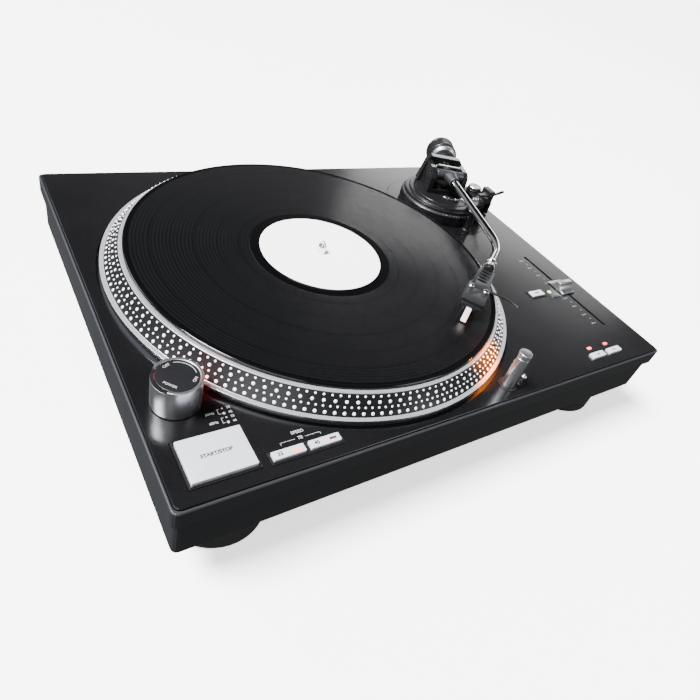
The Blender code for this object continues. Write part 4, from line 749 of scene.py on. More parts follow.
# ---- power knob with the strobe lamp in its side
knob = {"radius": 14.9 * mm, "wall": 2.0 * mm, "stepFrom": 136.0, "stepTo": 230.0, "stepDeep": 1.5 * mm}
knobAt = middle("power_knob")
knobLow, knobHigh = low("power_knob").z, high("power_knob").z
lensAt = middle("strobe_lens")
lensWay = (lensAt - knobAt).to_2d().normalized()
lensAngle = math.atan2(lensWay.y, lensWay.x)
inside = knob["radius"] - knob["wall"]
profile = [(8.4 * mm, knobLow), (knob["radius"], knobLow), (knob["radius"], knobHigh), (inside, knobHigh),
    (inside, knobLow + 1.5 * mm), (8.4 * mm, knobLow + 1.5 * mm)]
shell = spun(profile, 0.5 * mm, 144, closed=True)
window = moved(softSlab(3 * mm, 4.6 * mm, low("strobe_lens").z - 0.4 * mm, high("strobe_lens").z + 0.4 * mm, 0.4 * mm,
    0.05 * mm), Matrix.Rotation(lensAngle, 4, "Z") @ at((knob["radius"], 0, 0)))
wedge = []
for z in (knobHigh - knob["stepDeep"], knobHigh + 1 * mm):
    ring = []
    for k in range(17):
        a = math.radians(knob["stepFrom"] + (knob["stepTo"] - knob["stepFrom"]) * k / 16)
        ring.append((18 * mm * math.cos(a), 18 * mm * math.sin(a), z))
    ring.append((0, 0, z))
    wedge.append(ring)
shell = carve(shell, window, loft(wedge))
keep("knobShell", moved(shell, under(knobAt)), [satinSteel], "power_knob", "power_knob", slot="key_silver")
sector = []
for r, z in ((inside + 0.05 * mm, -0.05), (knob["radius"] - 0.12 * mm, -0.05), (knob["radius"] - 0.12 * mm, 0.75),
        (inside + 0.05 * mm, 0.75)):
    span = knob["stepTo"] - knob["stepFrom"] - 0.6
    sweepAt = [math.radians(knob["stepFrom"] + 0.3 + span * k / 24) for k in range(25)]
    sector.append([(r * math.cos(a), r * math.sin(a), knobHigh - knob["stepDeep"] + z * mm) for a in sweepAt])
filler = loft([[ring[k] for ring in sector] for k in range(25)])
keep("knobFiller", moved(filler, under(knobAt)), [blackPlastic], "power_knob", slot="black_plastic")
coreTop = high("strobe_core").z
profile = [(0, low("strobe_core").z), (8 * mm, low("strobe_core").z), (8 * mm, coreTop - 2.1 * mm),
    (inside - 0.3 * mm, coreTop - 2.1 * mm), (inside - 0.3 * mm, coreTop), (0, coreTop)]
keep("knobInlay", moved(spun(profile, 0.3 * mm, 96), under(knobAt)), [blackPlastic], "chassis",
    "strobe_core", slot="black_plastic")
inkZ = coreTop + 0.03 * mm
dial = [("OFF", 9.9, 110.0, 24.0, 1.9), ("POWER", 8.3, 223.0, -48.0, 1.75), ("ON", 10.3, -33.0, 45.0, 1.9)]
marks = []
for words, reach, around, tilt, size in dial:
    a = math.radians(around)
    marks.append(lettering(words, size * mm, flatTurn((knobAt.x + reach * mm * math.cos(a),
        knobAt.y + reach * mm * math.sin(a), inkZ), math.radians(tilt))))
sweep = [(11.0 * mm * math.cos(math.radians(a)), 11.0 * mm * math.sin(math.radians(a)), 0) for a in range(84, -8, -4)]
marks.append(moved(tubeAlong(sweep, 0.16 * mm, 6), flatTurn((knobAt.x, knobAt.y, inkZ))))
keep("knobMarks", joined(*marks), [printInk], "chassis", slot="label_paper", smooth=0)
redGlow = lampFinish("redGlow", (1.0, 0.02, 0.01), 5.0, lensAt, 5 * mm)
keep("strobeWindow", rounded(moved(softSlab(2.1 * mm, 3.3 * mm, low("strobe_lens").z, high("strobe_lens").z, 0.5 * mm,
    0.2 * mm), flatTurn((lensAt.x, lensAt.y, 0), lensAngle)), 0.02 * mm),
    [redGlow], "chassis", "strobe_lens", slot="red_lens")
print("power knob made")

# ---- push keys
keyStyle = {"edge": 0.35 * mm, "corner": 0.7 * mm, "stem": 2.0 * mm, "skirt": 2.0 * mm}


def keyMesh(node, style):
    lo, hi, mid = low(node), high(node), middle(node)
    cap = softSlab((hi.x - lo.x) / 2, (hi.y - lo.y) / 2, panelZ - style["skirt"], hi.z, style["corner"], style["edge"],
        bottomEdge=0.1 * mm)
    stem = softSlab(style["stem"], style["stem"], lo.z, panelZ - style["skirt"] + 0.2 * mm, 0.3 * mm, 0.1 * mm)
    return moved(joined(cap, stem), under(mid))


for node in ("start_stop_key", "key_33", "key_45", "reset_key", "range_key_left", "range_key_right"):
    keep(node.title().replace("_", "") + "Cap", keyMesh(node, keyStyle), [keySilver], node, node, slot="key_silver")
faces = [("start_stop_key", "START/STOP", 2.35, 0.0, 0.0), ("key_33", "33", 2.5, -5.6, 0.0),
    ("key_45", "45", 2.5, -5.6, 0.0), ("reset_key", "RESET", 1.7, 0.0, 0.0),
    ("range_key_left", "±8", 2.0, 0.0, 0.0), ("range_key_right", "±16", 2.0, 0.0, 0.0)]
for node, words, size, dx, dy in faces:
    mid = middle(node)
    spot = (mid.x + dx * mm, mid.y + dy * mm, high(node).z + 0.02 * mm)
    mesh = lettering(words, size * mm, flatTurn(spot), bold=0.05)
    keep(node.replace("_", "") + "Word", mesh, [darkInk], node, slot="black_plastic", smooth=0)
orangeGlow = lampFinish("orangeGlow", (1.0, 0.2, 0.09), 2.2, middle("key_33") + Vector((5.4 * mm, 0, 0)), 9 * mm)
dimRed = grainy("dimRed", (0.06, 0.015, 0.012), 0.15, grain=900.0, depth=0.004 * mm)
for node, finish in (("key_33", orangeGlow), ("key_45", dimRed)):
    mid, top = middle(node), high(node).z
    pane = softSlab(2.4 * mm, 0.85 * mm, top - 0.5 * mm, top + 0.03 * mm, 0.3 * mm, 0.05 * mm)
    keep(node.replace("_", "") + "Window", moved(pane, at((mid.x + 5.4 * mm, mid.y, 0))), [finish], node,
        slot="red_lens")

ledGlow = lampFinish("ledGlow", (1.0, 0.02, 0.02), 1.3, middle("range_led_left"), 60 * mm)
for side in ("left", "right"):
    node = "range_led_" + side
    mid = middle(node)
    pane = softSlab(2.5 * mm, 1.3 * mm, low(node).z, high(node).z, 1.0 * mm, 0.3 * mm)
    keep("rangeLamp" + side.title(), moved(pane, under(mid)), [ledGlow], "chassis", node, slot="red_lens")
greenGlow = lampFinish("greenGlow", (0.45, 0.72, 0.02), 1.6, middle("reset_led"), 8 * mm)
mid = middle("reset_led")
profile = [(0, low("reset_led").z), (2.1 * mm, low("reset_led").z), (2.1 * mm, panelZ), (1.4 * mm, high("reset_led").z),
    (0, high("reset_led").z)]
keep("resetLamp", moved(spun(profile, 0.4 * mm, 40), under(mid)), [greenGlow], "chassis",
    "reset_led", slot="green_lens")
print("keys made")

# ---- pitch fader
fader = {"width": 18.6 * mm, "depth": 20.8 * mm, "ridge": 5.4 * mm, "low": 0.5 * mm, "stemWide": 1.6 * mm,
    "stemDeep": 5.0 * mm}


def faderMesh(f):
    lo, hi, mid = low("pitch_cap"), high("pitch_cap"), middle("pitch_cap")
    base, top = panelZ + f["low"], hi.z
    half, ridge = f["depth"] / 2, f["ridge"] / 2
    lip = base + 1.2 * mm
    side = [(half, base)]
    for k in range(11):
        t = math.pi / 2 * k / 10
        side.append((half - (half - ridge) * math.sin(t), lip + (top - 0.5 * mm - lip) * (1 - math.cos(t))))
    side.append((ridge - 0.5 * mm, top))
    shape = side + [(-y, z) for y, z in reversed(side)]
    shape = [(y, z) for i, (y, z) in enumerate(shape) if i == 0 or (y, z) != shape[i - 1]]
    cap = rounded(loft([[(x, y, z) for y, z in shape] for x in (-f["width"] / 2, f["width"] / 2)]), 0.35 * mm, 3, 40)
    stem = softSlab(f["stemWide"] / 2, f["stemDeep"] / 2, lo.z, base + 0.5 * mm, 0.3 * mm, 0.05 * mm)
    return moved(joined(cap, stem), under(mid))


keep("faderCap", faderMesh(fader), [satinSteel], "pitch_cap", "pitch_cap", slot="key_silver", smooth=30)
mid = middle("pitch_cap")
capTop = high("pitch_cap").z
line = softSlab(fader["width"] / 2 - 0.6 * mm, 0.3 * mm, capTop - 0.1 * mm, capTop + 0.02 * mm, 0.1 * mm, 0.02 * mm)
keep("faderLine", moved(line, under(mid)), [printInk], "pitch_cap", slot="label_paper", smooth=0)

# ---- printing on the panel
inkTop = panelZ + 0.03 * mm
slotAt = middle("pitch_track")
scale = {"pitch": 12.5 * mm, "majors": 9, "fromSlot": 8.6 * mm}
scaleX = slotAt.x - scale["fromSlot"]
panelMarks = []
for count, shift, size in ((scale["majors"], 0, (3.0 * mm, 0.32 * mm, 0.06 * mm)),
        (scale["majors"] - 1, 0.8 * mm, (1.5 * mm, 0.26 * mm, 0.06 * mm))):
    panelMarks.append(grow(rows, Count=count, Step=(0, scale["pitch"], 0), Size=size,
        From=(scaleX + shift, slotAt.y - (count - 1) / 2 * scale["pitch"], inkTop)))
for k in range(-4, 5):
    if k:
        panelMarks.append(lettering(str(2 * abs(k)), 1.7 * mm, flatTurn(
            (scaleX - 3.4 * mm, slotAt.y + k * scale["pitch"], inkTop))))
legend = [("50Hz", -184.6, -119.6, 1.8), ("60Hz", -184.6, -126.8, 1.8), ("33", -172.2, -117.6, 1.7),
    ("45", -172.2, -121.4, 1.7), ("33", -172.2, -124.9, 1.7), ("45", -172.2, -128.6, 1.7),
    ("SPEED", -140.6, -148.8, 2.2), ("78", -140.8, -153.4, 2.3)]
for words, x, y, size in legend:
    panelMarks.append(lettering(words, size * mm, flatTurn((x * mm, y * mm, inkTop))))
strokes = [(-179.4, -117.6, -179.4, -121.4), (-179.4, -117.6, -177.9, -117.6), (-179.4, -121.4, -177.9, -121.4),
    (-179.4, -124.7, -179.4, -128.4), (-179.4, -124.7, -177.9, -124.7), (-179.4, -128.4, -177.9, -128.4),
    (-154.2, -155.2, -154.2, -153.4), (-154.2, -153.4, -144.2, -153.4),
    (-127.2, -155.2, -127.2, -153.4), (-137.5, -153.4, -127.2, -153.4)]
for x0, y0, x1, y1 in strokes:
    panelMarks.append(bar(x0 * mm, y0 * mm, x1 * mm, y1 * mm, 0.2 * mm, panelZ - 0.02 * mm, inkTop + 0.02 * mm))
for x, y, r in ((-176.1, -117.6, 0.5), (-176.3, -121.4, 0.85), (-176.1, -124.8, 0.5), (-176.3, -128.5, 0.85)):
    panelMarks.append(moved(lathe([(0, 0), (r * mm, 0), (r * mm, 0.05 * mm), (0, 0.05 * mm)], 20),
        at((x * mm, y * mm, panelZ))))
keep("panelMarks", joined(*panelMarks), [printInk], "chassis", slot="label_paper", smooth=0)
print("fader and printing made")

# ---- pop-up target light
light = {"radius": 5.0 * mm, "pocketWide": 4.4 * mm, "pocketDeep": 2.4 * mm}
lightAt, lightTop = middle("target_light"), high("target_light").z
lampAt = middle("target_lens")
lampWay = (lampAt - lightAt).to_2d().normalized()
lampAngle = math.atan2(lampWay.y, lampWay.x)
profile = [(0, low("target_light").z), (light["radius"], low("target_light").z), (light["radius"], lightTop - 4.6 * mm),
    (light["radius"] - 0.15 * mm, lightTop - 4.5 * mm), (light["radius"] - 0.15 * mm, lightTop - 4.2 * mm),
    (light["radius"], lightTop - 4.1 * mm), (light["radius"], lightTop), (0, lightTop)]
post = spun(profile, 0.6 * mm, 72)
pocket = moved(softSlab(light["pocketDeep"], light["pocketWide"] / 2, low("target_lens").z - 0.3 * mm,
    high("target_lens").z + 0.3 * mm, 0.3 * mm, 0.03 * mm),
    Matrix.Rotation(lampAngle, 4, "Z") @ at((light["radius"], 0, 0)))
keep("lightPost", moved(carve(post, pocket), under(lightAt)), [satinSteel], "target_light",
    "target_light", slot="chrome")
amberGlow = lampFinish("amberGlow", (1.0, 0.42, 0.1), 6.0, lampAt, 6 * mm)
pane = softSlab(0.9 * mm, light["pocketWide"] / 2 - 0.3 * mm, low("target_lens").z, high("target_lens").z, 0.3 * mm,
    0.15 * mm)
keep("lightLens", moved(pane, flatTurn((lampAt.x, lampAt.y, 0), lampAngle)), [amberGlow], "target_light",
    "target_lens", slot="amber_lens")
pinAt, pinTop, pinLow = middle("target_release_pin"), high("target_release_pin").z, low("target_release_pin").z
profile = [(0, pinLow), (1.3 * mm, pinLow), (1.3 * mm, pinTop - 3.4 * mm), (2.4 * mm, pinTop - 2.4 * mm),
    (2.2 * mm, pinTop - 1.0 * mm), (1.2 * mm, pinTop - 0.1 * mm), (0, pinTop)]
keep("releasePin", moved(spun(profile, 0.4 * mm, 48), under(pinAt)), [chrome],
    "target_release_pin", "target_release_pin", slot="chrome")
print("target light made")

# ---- tonearm base
pivotFoot = under(pivotAt, panelZ)
ring = {"inner": 34.0 * mm, "outer": 44.5 * mm, "low": 0.5 * mm, "top": high("height_ring").z - panelZ, "ridges": 150,
    "ticks": 72}
profile = [(ring["inner"], ring["low"]), (ring["outer"] - 0.5 * mm, ring["low"]), (ring["outer"] - 0.5 * mm, 3 * mm),
    (ring["outer"] - 0.2 * mm, 3.2 * mm), (ring["outer"] - 0.2 * mm, ring["top"] - 3.4 * mm),
    (ring["outer"], ring["top"] - 3.2 * mm), (ring["outer"], ring["top"] - 1.6 * mm),
    (ring["outer"] - 2.4 * mm, ring["top"]), (ring["inner"], ring["top"])]
keep("heightRing", moved(spun(profile, 0.3 * mm, 192, closed=True), pivotFoot), [blackPlastic],
    "height_ring", "height_ring", slot="black_plastic")
grips = barRing(ring["ridges"], ring["outer"] - 0.2 * mm, (ring["top"] + 0.2 * mm) / 2 - 0.2 * mm,
    (0.5 * mm, 0.8 * mm, ring["top"] - 7.0 * mm))
keep("heightGrip", moved(grips, pivotFoot), [blackPlastic], "height_ring", slot="black_plastic", smooth=0)
ticks = barRing(ring["ticks"], ring["outer"] - 1.25 * mm, ring["top"] - 0.72 * mm, (1.3 * mm, 0.35 * mm, 0.3 * mm))
keep("heightTicks", moved(ticks, pivotFoot), [printInk], "height_ring", slot="label_paper", smooth=0)

base = {"bore": 5.3 * mm, "barrel": 33.7 * mm, "flange": 41.5 * mm, "cap": 37.0 * mm, "step": 12.9 * mm,
    "flangeTop": 14.9 * mm, "capTop": 16.6 * mm}


def baseMesh(b):
    profile = [(b["bore"], ring["low"]), (b["barrel"], ring["low"]), (b["barrel"], b["step"]), (b["flange"], b["step"]),
        (b["flange"], b["flangeTop"]), (b["cap"] + 0.8 * mm, b["flangeTop"]), (b["cap"], b["flangeTop"] + 0.3 * mm),
        (b["cap"], b["capTop"]), (b["cap"] - 5 * mm, b["capTop"]), (b["cap"] - 5.4 * mm, b["capTop"] - 0.4 * mm),
        (b["cap"] - 6.4 * mm, b["capTop"] - 0.4 * mm), (b["cap"] - 6.8 * mm, b["capTop"]), (b["bore"], b["capTop"])]
    right = high("arm_base").x - pivotAt.x
    leverY = joints["cue_lever_turn"]["pos_m"][1] - pivotAt.y
    dialAt = middle("antiskate_dial") - pivotAt
    lift = middle("cue_lift")
    parts = [spun(profile, 0.35 * mm, 192, closed=True)]
    outrigger = softSlab((right - 29 * mm) / 2, 17 * mm, b["step"], b["capTop"], 3 * mm, 0.5 * mm)
    parts.append(moved(outrigger, at(((right + 29 * mm) / 2, -7 * mm, 0))))
    skirt = softSlab(2 * mm, 17 * mm, 1 * mm, b["step"] + 1 * mm, 0.8 * mm, 0.3 * mm)
    parts.append(moved(skirt, at((right - 2 * mm, -7 * mm, 0))))
    housing = softSlab(4 * mm, 7 * mm, b["step"] + 1 * mm, high("arm_base").z - panelZ, 1.2 * mm, 0.7 * mm)
    parts.append(moved(housing, at((right - 4 * mm, leverY, 0))))
    parts.append(moved(spun([(0, b["step"]), (8.5 * mm, b["step"]), (8.5 * mm, 19.0 * mm), (0, 19.0 * mm)],
        0.5 * mm, 64), under(dialAt)))
    a = math.radians(14.0)
    postTop = b["capTop"] + 9 * mm
    sleeve = [(1.8 * mm, b["step"]), (4.2 * mm, b["step"]), (4.2 * mm, postTop - 2 * mm), (3.4 * mm, postTop),
        (1.8 * mm, postTop)]
    parts.append(moved(spun(sleeve, 0.4 * mm, 40, closed=True),
        at((38 * mm * math.sin(a), -38 * mm * math.cos(a), 0))))
    return moved(joined(*parts), pivotFoot)


keep("armBase", baseMesh(base), [blackPlastic], "arm_base", "arm_base", slot="black_plastic")
dialAt, dialTop = middle("antiskate_dial"), high("antiskate_dial").z
profile = [(0, low("antiskate_dial").z), (7.5 * mm, low("antiskate_dial").z), (7.5 * mm, dialTop - 0.7 * mm),
    (6.8 * mm, dialTop), (5.6 * mm, dialTop), (5.3 * mm, dialTop - 0.25 * mm), (0, dialTop - 0.25 * mm)]
keep("skateDial", moved(spun(profile, 0.25 * mm, 96, slots=lambda i, p: 1 if p[i][1] > dialTop - 0.65 * mm else 0),
    under(dialAt)), [blackPlastic, satinSteel], "antiskate_dial", "antiskate_dial",
    slot="dial_silver")
knurl = barRing(44, 7.45 * mm, (low("antiskate_dial").z + dialTop) / 2 - 0.35 * mm, (0.1 * mm, 0.5 * mm, 1.5 * mm))
keep("skateKnurl", moved(knurl, under(dialAt)), [satinSteel], "antiskate_dial", slot="dial_silver",
    smooth=0)

lever = {"angle": 44.0, "length": 28.0 * mm}
leverAt = Vector(joints["cue_lever_turn"]["pos_m"])
hub = spun([(0, 0), (4 * mm, 0), (4 * mm, 3 * mm), (0, 3 * mm)], 0.5 * mm, 48)
a = math.radians(lever["angle"])
way = Vector((0, -math.cos(a), math.sin(a)))
stick = spun([(0, 0), (1.1 * mm, 0), (1.15 * mm, 0.6 * lever["length"]), (1.5 * mm, 0.7 * lever["length"]),
    (1.5 * mm, lever["length"] - 0.3 * mm), (0, lever["length"])], 0.5 * mm, 24)
leverMesh = joined(moved(hub, along(leverAt, (1, 0, 0))), moved(stick, along(leverAt + Vector((1.6 * mm, 0, 0)), way,
    up=(1, 0, 0))))
keep("cueLever", leverMesh, [blackPlastic], "cue_lever", "cue_lever", slot="black_plastic")

lift = {"radius": 42.0 * mm, "bar": 1.5 * mm, "from": -17.0, "to": 44.0, "post": 38.0 * mm, "postAt": -14.0}
liftZ = high("cue_lift").z - lift["bar"]
a = math.radians(lift["postAt"])
postAt = Vector((pivotAt.x - lift["post"] * math.sin(a), pivotAt.y - lift["post"] * math.cos(a), liftZ))
points = [postAt]
for k in range(33):
    a = math.radians(lift["from"] + (lift["to"] - lift["from"]) * k / 32)
    points.append(Vector((pivotAt.x - lift["radius"] * math.sin(a), pivotAt.y - lift["radius"] * math.cos(a), liftZ)))
rodLow = low("cue_lift").z
postRod = moved(spun([(0, rodLow), (1.35 * mm, rodLow), (1.35 * mm, liftZ), (0, liftZ)], 0.2 * mm, 20),
    under(postAt))
keep("cueBar", joined(tubeAlong(points, lift["bar"], 16), postRod), [chrome], "cue_lift", "cue_lift", slot="chrome")
cadFinish(["arm_rest_post", "arm_rest_clip"], blackPlastic, 0.3 * mm)
print("tonearm base made")

# ---- yoke and gimbal
cadFinish(["arm_yoke"], glossPlastic, 0.7 * mm)
cadFinish(["gimbal_ring"], chrome, 0.4 * mm)

# ---- arm: hub, tube, collar
across = -Vector(joints["arm_tilt"]["axis"])
stubWay = Vector(joints["weight_slide"]["axis"])
arm = {"heading": 18.5, "straight": 118.0 * mm, "bendRadius": 56.0 * mm, "bend": 36.4, "radius": 3.9 * mm,
    "start": 10.3 * mm, "steps": 28}
a = math.radians(arm["heading"])
ahead = Vector((-math.sin(a), -math.cos(a), 0))
barrel = [(0, -19.5 * mm), (1.2 * mm, -19.5 * mm), (1.2 * mm, -14.9 * mm), (5 * mm, -14.9 * mm), (5 * mm, 14.9 * mm),
    (1.2 * mm, 14.9 * mm), (1.2 * mm, 19.5 * mm), (0, 19.5 * mm)]
socket = [(0, 0.5 * mm), (6.3 * mm, 1.0 * mm), (7.1 * mm, 5.0 * mm), (7.1 * mm, 7.0 * mm), (6.2 * mm, 12.0 * mm),
    (5.7 * mm, 15.0 * mm), (5.3 * mm, 17.9 * mm), (4.2 * mm, 18.0 * mm), (4.2 * mm, 12.0 * mm), (0, 12.0 * mm)]
stub = [(0, 0), (3.5 * mm, 0), (3.5 * mm, 65.4 * mm), (3.0 * mm, 66.0 * mm), (0, 66.0 * mm)]
hubMesh = joined(moved(spun(barrel, 0.5 * mm, 56), along(pivotAt, across)),
    moved(spun(socket, 0.6 * mm, 64), along(pivotAt, ahead)),
    moved(spun(stub, 0.4 * mm, 40), along(pivotAt, stubWay)))
keep("armHub", hubMesh, [gunmetal], "tonearm", "arm_hub", slot="arm_gunmetal")
points = [pivotAt + ahead * arm["start"], pivotAt + ahead * arm["straight"] * 0.5, pivotAt + ahead * arm["straight"]]
spot = pivotAt + ahead * arm["straight"]
heading = a
for k in range(arm["steps"]):
    part = math.radians(arm["bend"]) / arm["steps"]
    middleWay = heading + part / 2
    spot = spot + Vector((-math.sin(middleWay), -math.cos(middleWay), 0)) * 2 * arm["bendRadius"] * math.sin(part / 2)
    heading += part
    points.append(spot.copy())
tubeEnd = Vector(joints["collar_turn"]["pos_m"])
points.append(tubeEnd)
keep("armTube", tubeAlong(points, arm["radius"], 40), [chrome], "tonearm", "arm_tube", slot="chrome")
shellWay = Vector(joints["collar_turn"]["axis"]).normalized()
collar = {"length": 11.0 * mm, "back": 5.0 * mm, "wall": 1.2 * mm, "ridges": 36}
inner, outer = arm["radius"] + 0.3 * mm, arm["radius"] + 0.3 * mm + collar["wall"]
profile = [(inner, -collar["back"]), (outer, -collar["back"]), (outer, -1.6 * mm), (outer - 0.35 * mm, -1.3 * mm),
    (outer - 0.35 * mm, 4.3 * mm), (outer, 4.6 * mm), (outer, collar["length"] - collar["back"]),
    (inner, collar["length"] - collar["back"])]
collarMesh = spun(profile, 0.25 * mm, 72, closed=True)
knurl = barRing(collar["ridges"], outer - 0.35 * mm, 1.5 * mm, (0.5 * mm, 0.45 * mm, 5.2 * mm))
keep("lockCollar", moved(joined(collarMesh, knurl), along(tubeEnd, shellWay)), [chrome], "locking_collar",
    "locking_collar", slot="chrome")
print("arm made")

# ---- headshell, drawn pointing along -Y from the tube's end
side = shellWay.cross(Vector((0, 0, 1)))
shellFrame = at(tubeEnd) @ Matrix((-side, -shellWay, Vector((0, 0, 1)))).transposed().to_4x4()
headshell = {"start": 6.5, "length": 56.0, "back": 13.2, "front": 19.0, "shoulder": 27.0, "drop": 1.0, "thick": 2.6,
    "holes": 4, "screwAt": 36.0, "screwSide": 6.2}


def shellMesh(h):
    s0, s1 = h["start"], h["start"] + h["length"]
    shoulder = s0 + h["shoulder"]
    rightEdge = [(h["back"] / 2, s0), (h["back"] / 2 + 0.9, shoulder - 2), (h["front"] / 2, shoulder + 2),
        (h["front"] / 2, s1 - 1), (h["front"] / 2 - 1, s1)]
    edge = rightEdge + [(-x, s) for x, s in reversed(rightEdge)]
    edge = fillet(edge, 0.8, closed=True)
    zTop, zLow = -h["drop"], -h["drop"] - h["thick"]
    plate = loft([[(x * mm, -s * mm, z * mm) for x, s in edge] for z in (zLow, zTop)])
    cutters = []
    for k in range(h["holes"]):
        s = s0 + 5.0 + 5.4 * k
        oval = [(4.6 * math.cos(turn * i / 32) * mm, (-s + 1.6 * math.sin(turn * i / 32)) * mm) for i in range(32)]
        cutters.append(loft([[(x, y, z * mm) for x, y in oval] for z in (zLow - 1, zTop + 1)]))
    for x in (-h["screwSide"], h["screwSide"]):
        cutters.append(moved(lathe([(0, (zLow - 1) * mm), (1.5 * mm, (zLow - 1) * mm), (1.5 * mm, (zTop + 1) * mm),
            (0, (zTop + 1) * mm)], 24), at((x * mm, -(s0 + h["screwAt"]) * mm, 0))))
    plate = rounded(carve(plate, *cutters), 0.28 * mm, 3)
    neck = spun([(0, 0.4 * mm), (3.5 * mm, 0.4 * mm), (3.5 * mm, (s0 + 2) * mm), (0, (s0 + 2) * mm)], 0.3 * mm, 40)
    return joined(plate, moved(neck, along((0, 0, 0), (0, -1, 0))))


keep("headshellPlate", moved(shellMesh(headshell), shellFrame), [shellGrey], "tonearm", "headshell",
    slot="headshell_grey")
for name, x in (("left", -headshell["screwSide"]), ("right", headshell["screwSide"])):
    zTop, zLow = -headshell["drop"] * mm, -(headshell["drop"] + headshell["thick"]) * mm
    head = spun([(0, zLow + 0.3 * mm), (1.2 * mm, zLow + 0.3 * mm), (1.2 * mm, zTop + 0.3 * mm),
        (2.6 * mm, zTop + 0.3 * mm), (2.6 * mm, zTop + 1.6 * mm), (2.0 * mm, zTop + 2.1 * mm),
        (0, zTop + 2.1 * mm)], 0.2 * mm, 40)
    slotCut = softSlab(3 * mm, 0.35 * mm, zTop + 1.4 * mm, zTop + 3 * mm, 0.1 * mm, 0.02 * mm)
    screw = moved(carve(head, moved(slotCut, Matrix.Rotation(0.5 + x, 4, "Z"))),
        at((x * mm, -(headshell["start"] + headshell["screwAt"]) * mm, 0)))
    keep("shellScrew" + name.title(), moved(screw, shellFrame), [chrome], "tonearm", "headshell_screw_" + name,
        slot="chrome")

cartridge = {"start": 39.5, "length": 25.0, "wide": 15.6, "tall": 9.5, "top": -3.9}


def cartridgeMesh(c):
    s0, s1 = c["start"], c["start"] + c["length"]
    rings = []
    for inset, front, z in ((4.0, 3.0, -c["tall"]), (2.4, 0.5, -6.0), (2.4, 0.0, -3.0), (0.0, 0.0, -2.4), (0, 0, 0)):
        half = c["wide"] / 2 - inset
        corner = [(half, s1 - front), (half, s0), (-half, s0), (-half, s1 - front)]
        rings.append([(x * mm, -s * mm, (c["top"] + z) * mm) for x, s in fillet(corner, 1.2, closed=True)])
    return rounded(loft(rings), 0.25 * mm, 2, 25)


keep("cartridgeBody", moved(cartridgeMesh(cartridge), shellFrame), [glossPlastic], "tonearm", "cartridge",
    slot="black_plastic")
pins = []
for x in (-2.6, -0.9, 0.9, 2.6):
    pins.append(moved(spun([(0, 0), (0.42 * mm, 0), (0.42 * mm, 2.6 * mm), (0, 2.8 * mm)], 0.1 * mm, 14),
        along((x * mm, -cartridge["start"] * mm, (cartridge["top"] - 5.0) * mm), (0, 1, 0))))
for x in (-headshell["screwSide"], headshell["screwSide"]):
    nut = spun([(0, 0), (1.3 * mm, 0), (1.3 * mm, 1.5 * mm), (0, 1.5 * mm)], 0.15 * mm, 6)
    spot = (x * mm, -(headshell["start"] + headshell["screwAt"]) * mm, (cartridge["top"] - 3.9) * mm)
    pins.append(moved(nut, at(spot)))
keep("goldContacts", moved(joined(*pins), shellFrame), [goldPin], "tonearm", slot="dark_bronze")
stylusBody = nodes["stylus"].data.copy()
keep("stylusHolder", rounded(stylusBody, 0.3 * mm, 2), [paleResin], "tonearm", "stylus", slot="stylus_grey")

fingerLift = {"length": 24.0, "radius": 1.1 * mm}
x0 = headshell["front"] / 2 + 0.3
s = headshell["start"] + headshell["shoulder"] + 3
z0 = -headshell["drop"] - headshell["thick"] / 2
length = fingerLift["length"] - 0.3
points = []
for k in range(13):
    t = k / 12
    points.append(Vector(((x0 + length * t) * mm, -(s + 2.6 * max(0, t - 0.45) ** 2 / 0.3) * mm,
        (z0 + 0.6 * math.sin(math.pi * min(t * 1.1, 1)) - 0.7 * t ** 3) * mm)))
keep("fingerLift", moved(tubeAlong(points, fingerLift["radius"] * 0.95, 16), shellFrame), [darkBronze], "tonearm",
    "finger_lift", slot="dark_bronze")
print("headshell made")

# ---- counterweight and its dial
weight = {"start": 45.5, "length": 20.5, "radius": 16.0, "bore": 3.8, "ridges": 96}
w0, w1, wr = weight["start"], weight["start"] + weight["length"], weight["radius"]
profile = [(weight["bore"], w0), (wr - 1.2, w0), (wr, w0 + 1.0), (wr, w0 + 4.2), (wr - 0.5, w0 + 4.5),
    (wr - 0.5, w1 - 5.0),
    (wr, w1 - 4.7), (wr, w1 - 1.5), (wr - 1.5, w1), (wr - 5.0, w1), (wr - 5.6, w1 - 0.8), (weight["bore"], w1 - 0.8)]
mesh = lathe([(r * mm, z * mm) for r, z in fillet(profile, 0.35, closed=True)], 128, closed=True)
grip = barRing(weight["ridges"], (wr - 0.5) * mm, (w0 + w1 - 0.5) / 2 * mm,
    (0.7 * mm, 0.55 * mm, (weight["length"] - 9.4) * mm))
keep("weightBody", moved(joined(mesh, grip), along(pivotAt, stubWay)), [blackPlastic], "counterweight",
    "counterweight", slot="weight_black")
dial = {"start": 39.2, "length": 6.0, "radius": 14.5, "ticks": 40}
d0, d1, dr = dial["start"], dial["start"] + dial["length"], dial["radius"]
profile = [(weight["bore"], d0), (dr - 2.4, d0), (dr, d0 + 2.2), (dr, d1), (weight["bore"], d1)]
mesh = lathe([(r * mm, z * mm) for r, z in fillet(profile, 0.25, closed=True)], 128, closed=True)
keep("weightDial", moved(mesh, along(pivotAt, stubWay)), [satinSteel], "weight_dial", "weight_dial", slot="dial_silver")
ticks = barRing(dial["ticks"], (dr - 0.02) * mm, (d1 - 1.6) * mm, (0.12 * mm, 0.3 * mm, 2.4 * mm))
keep("weightTicks", moved(ticks, along(pivotAt, stubWay)), [darkInk], "weight_dial", slot="black_plastic", smooth=0)
print("counterweight made")

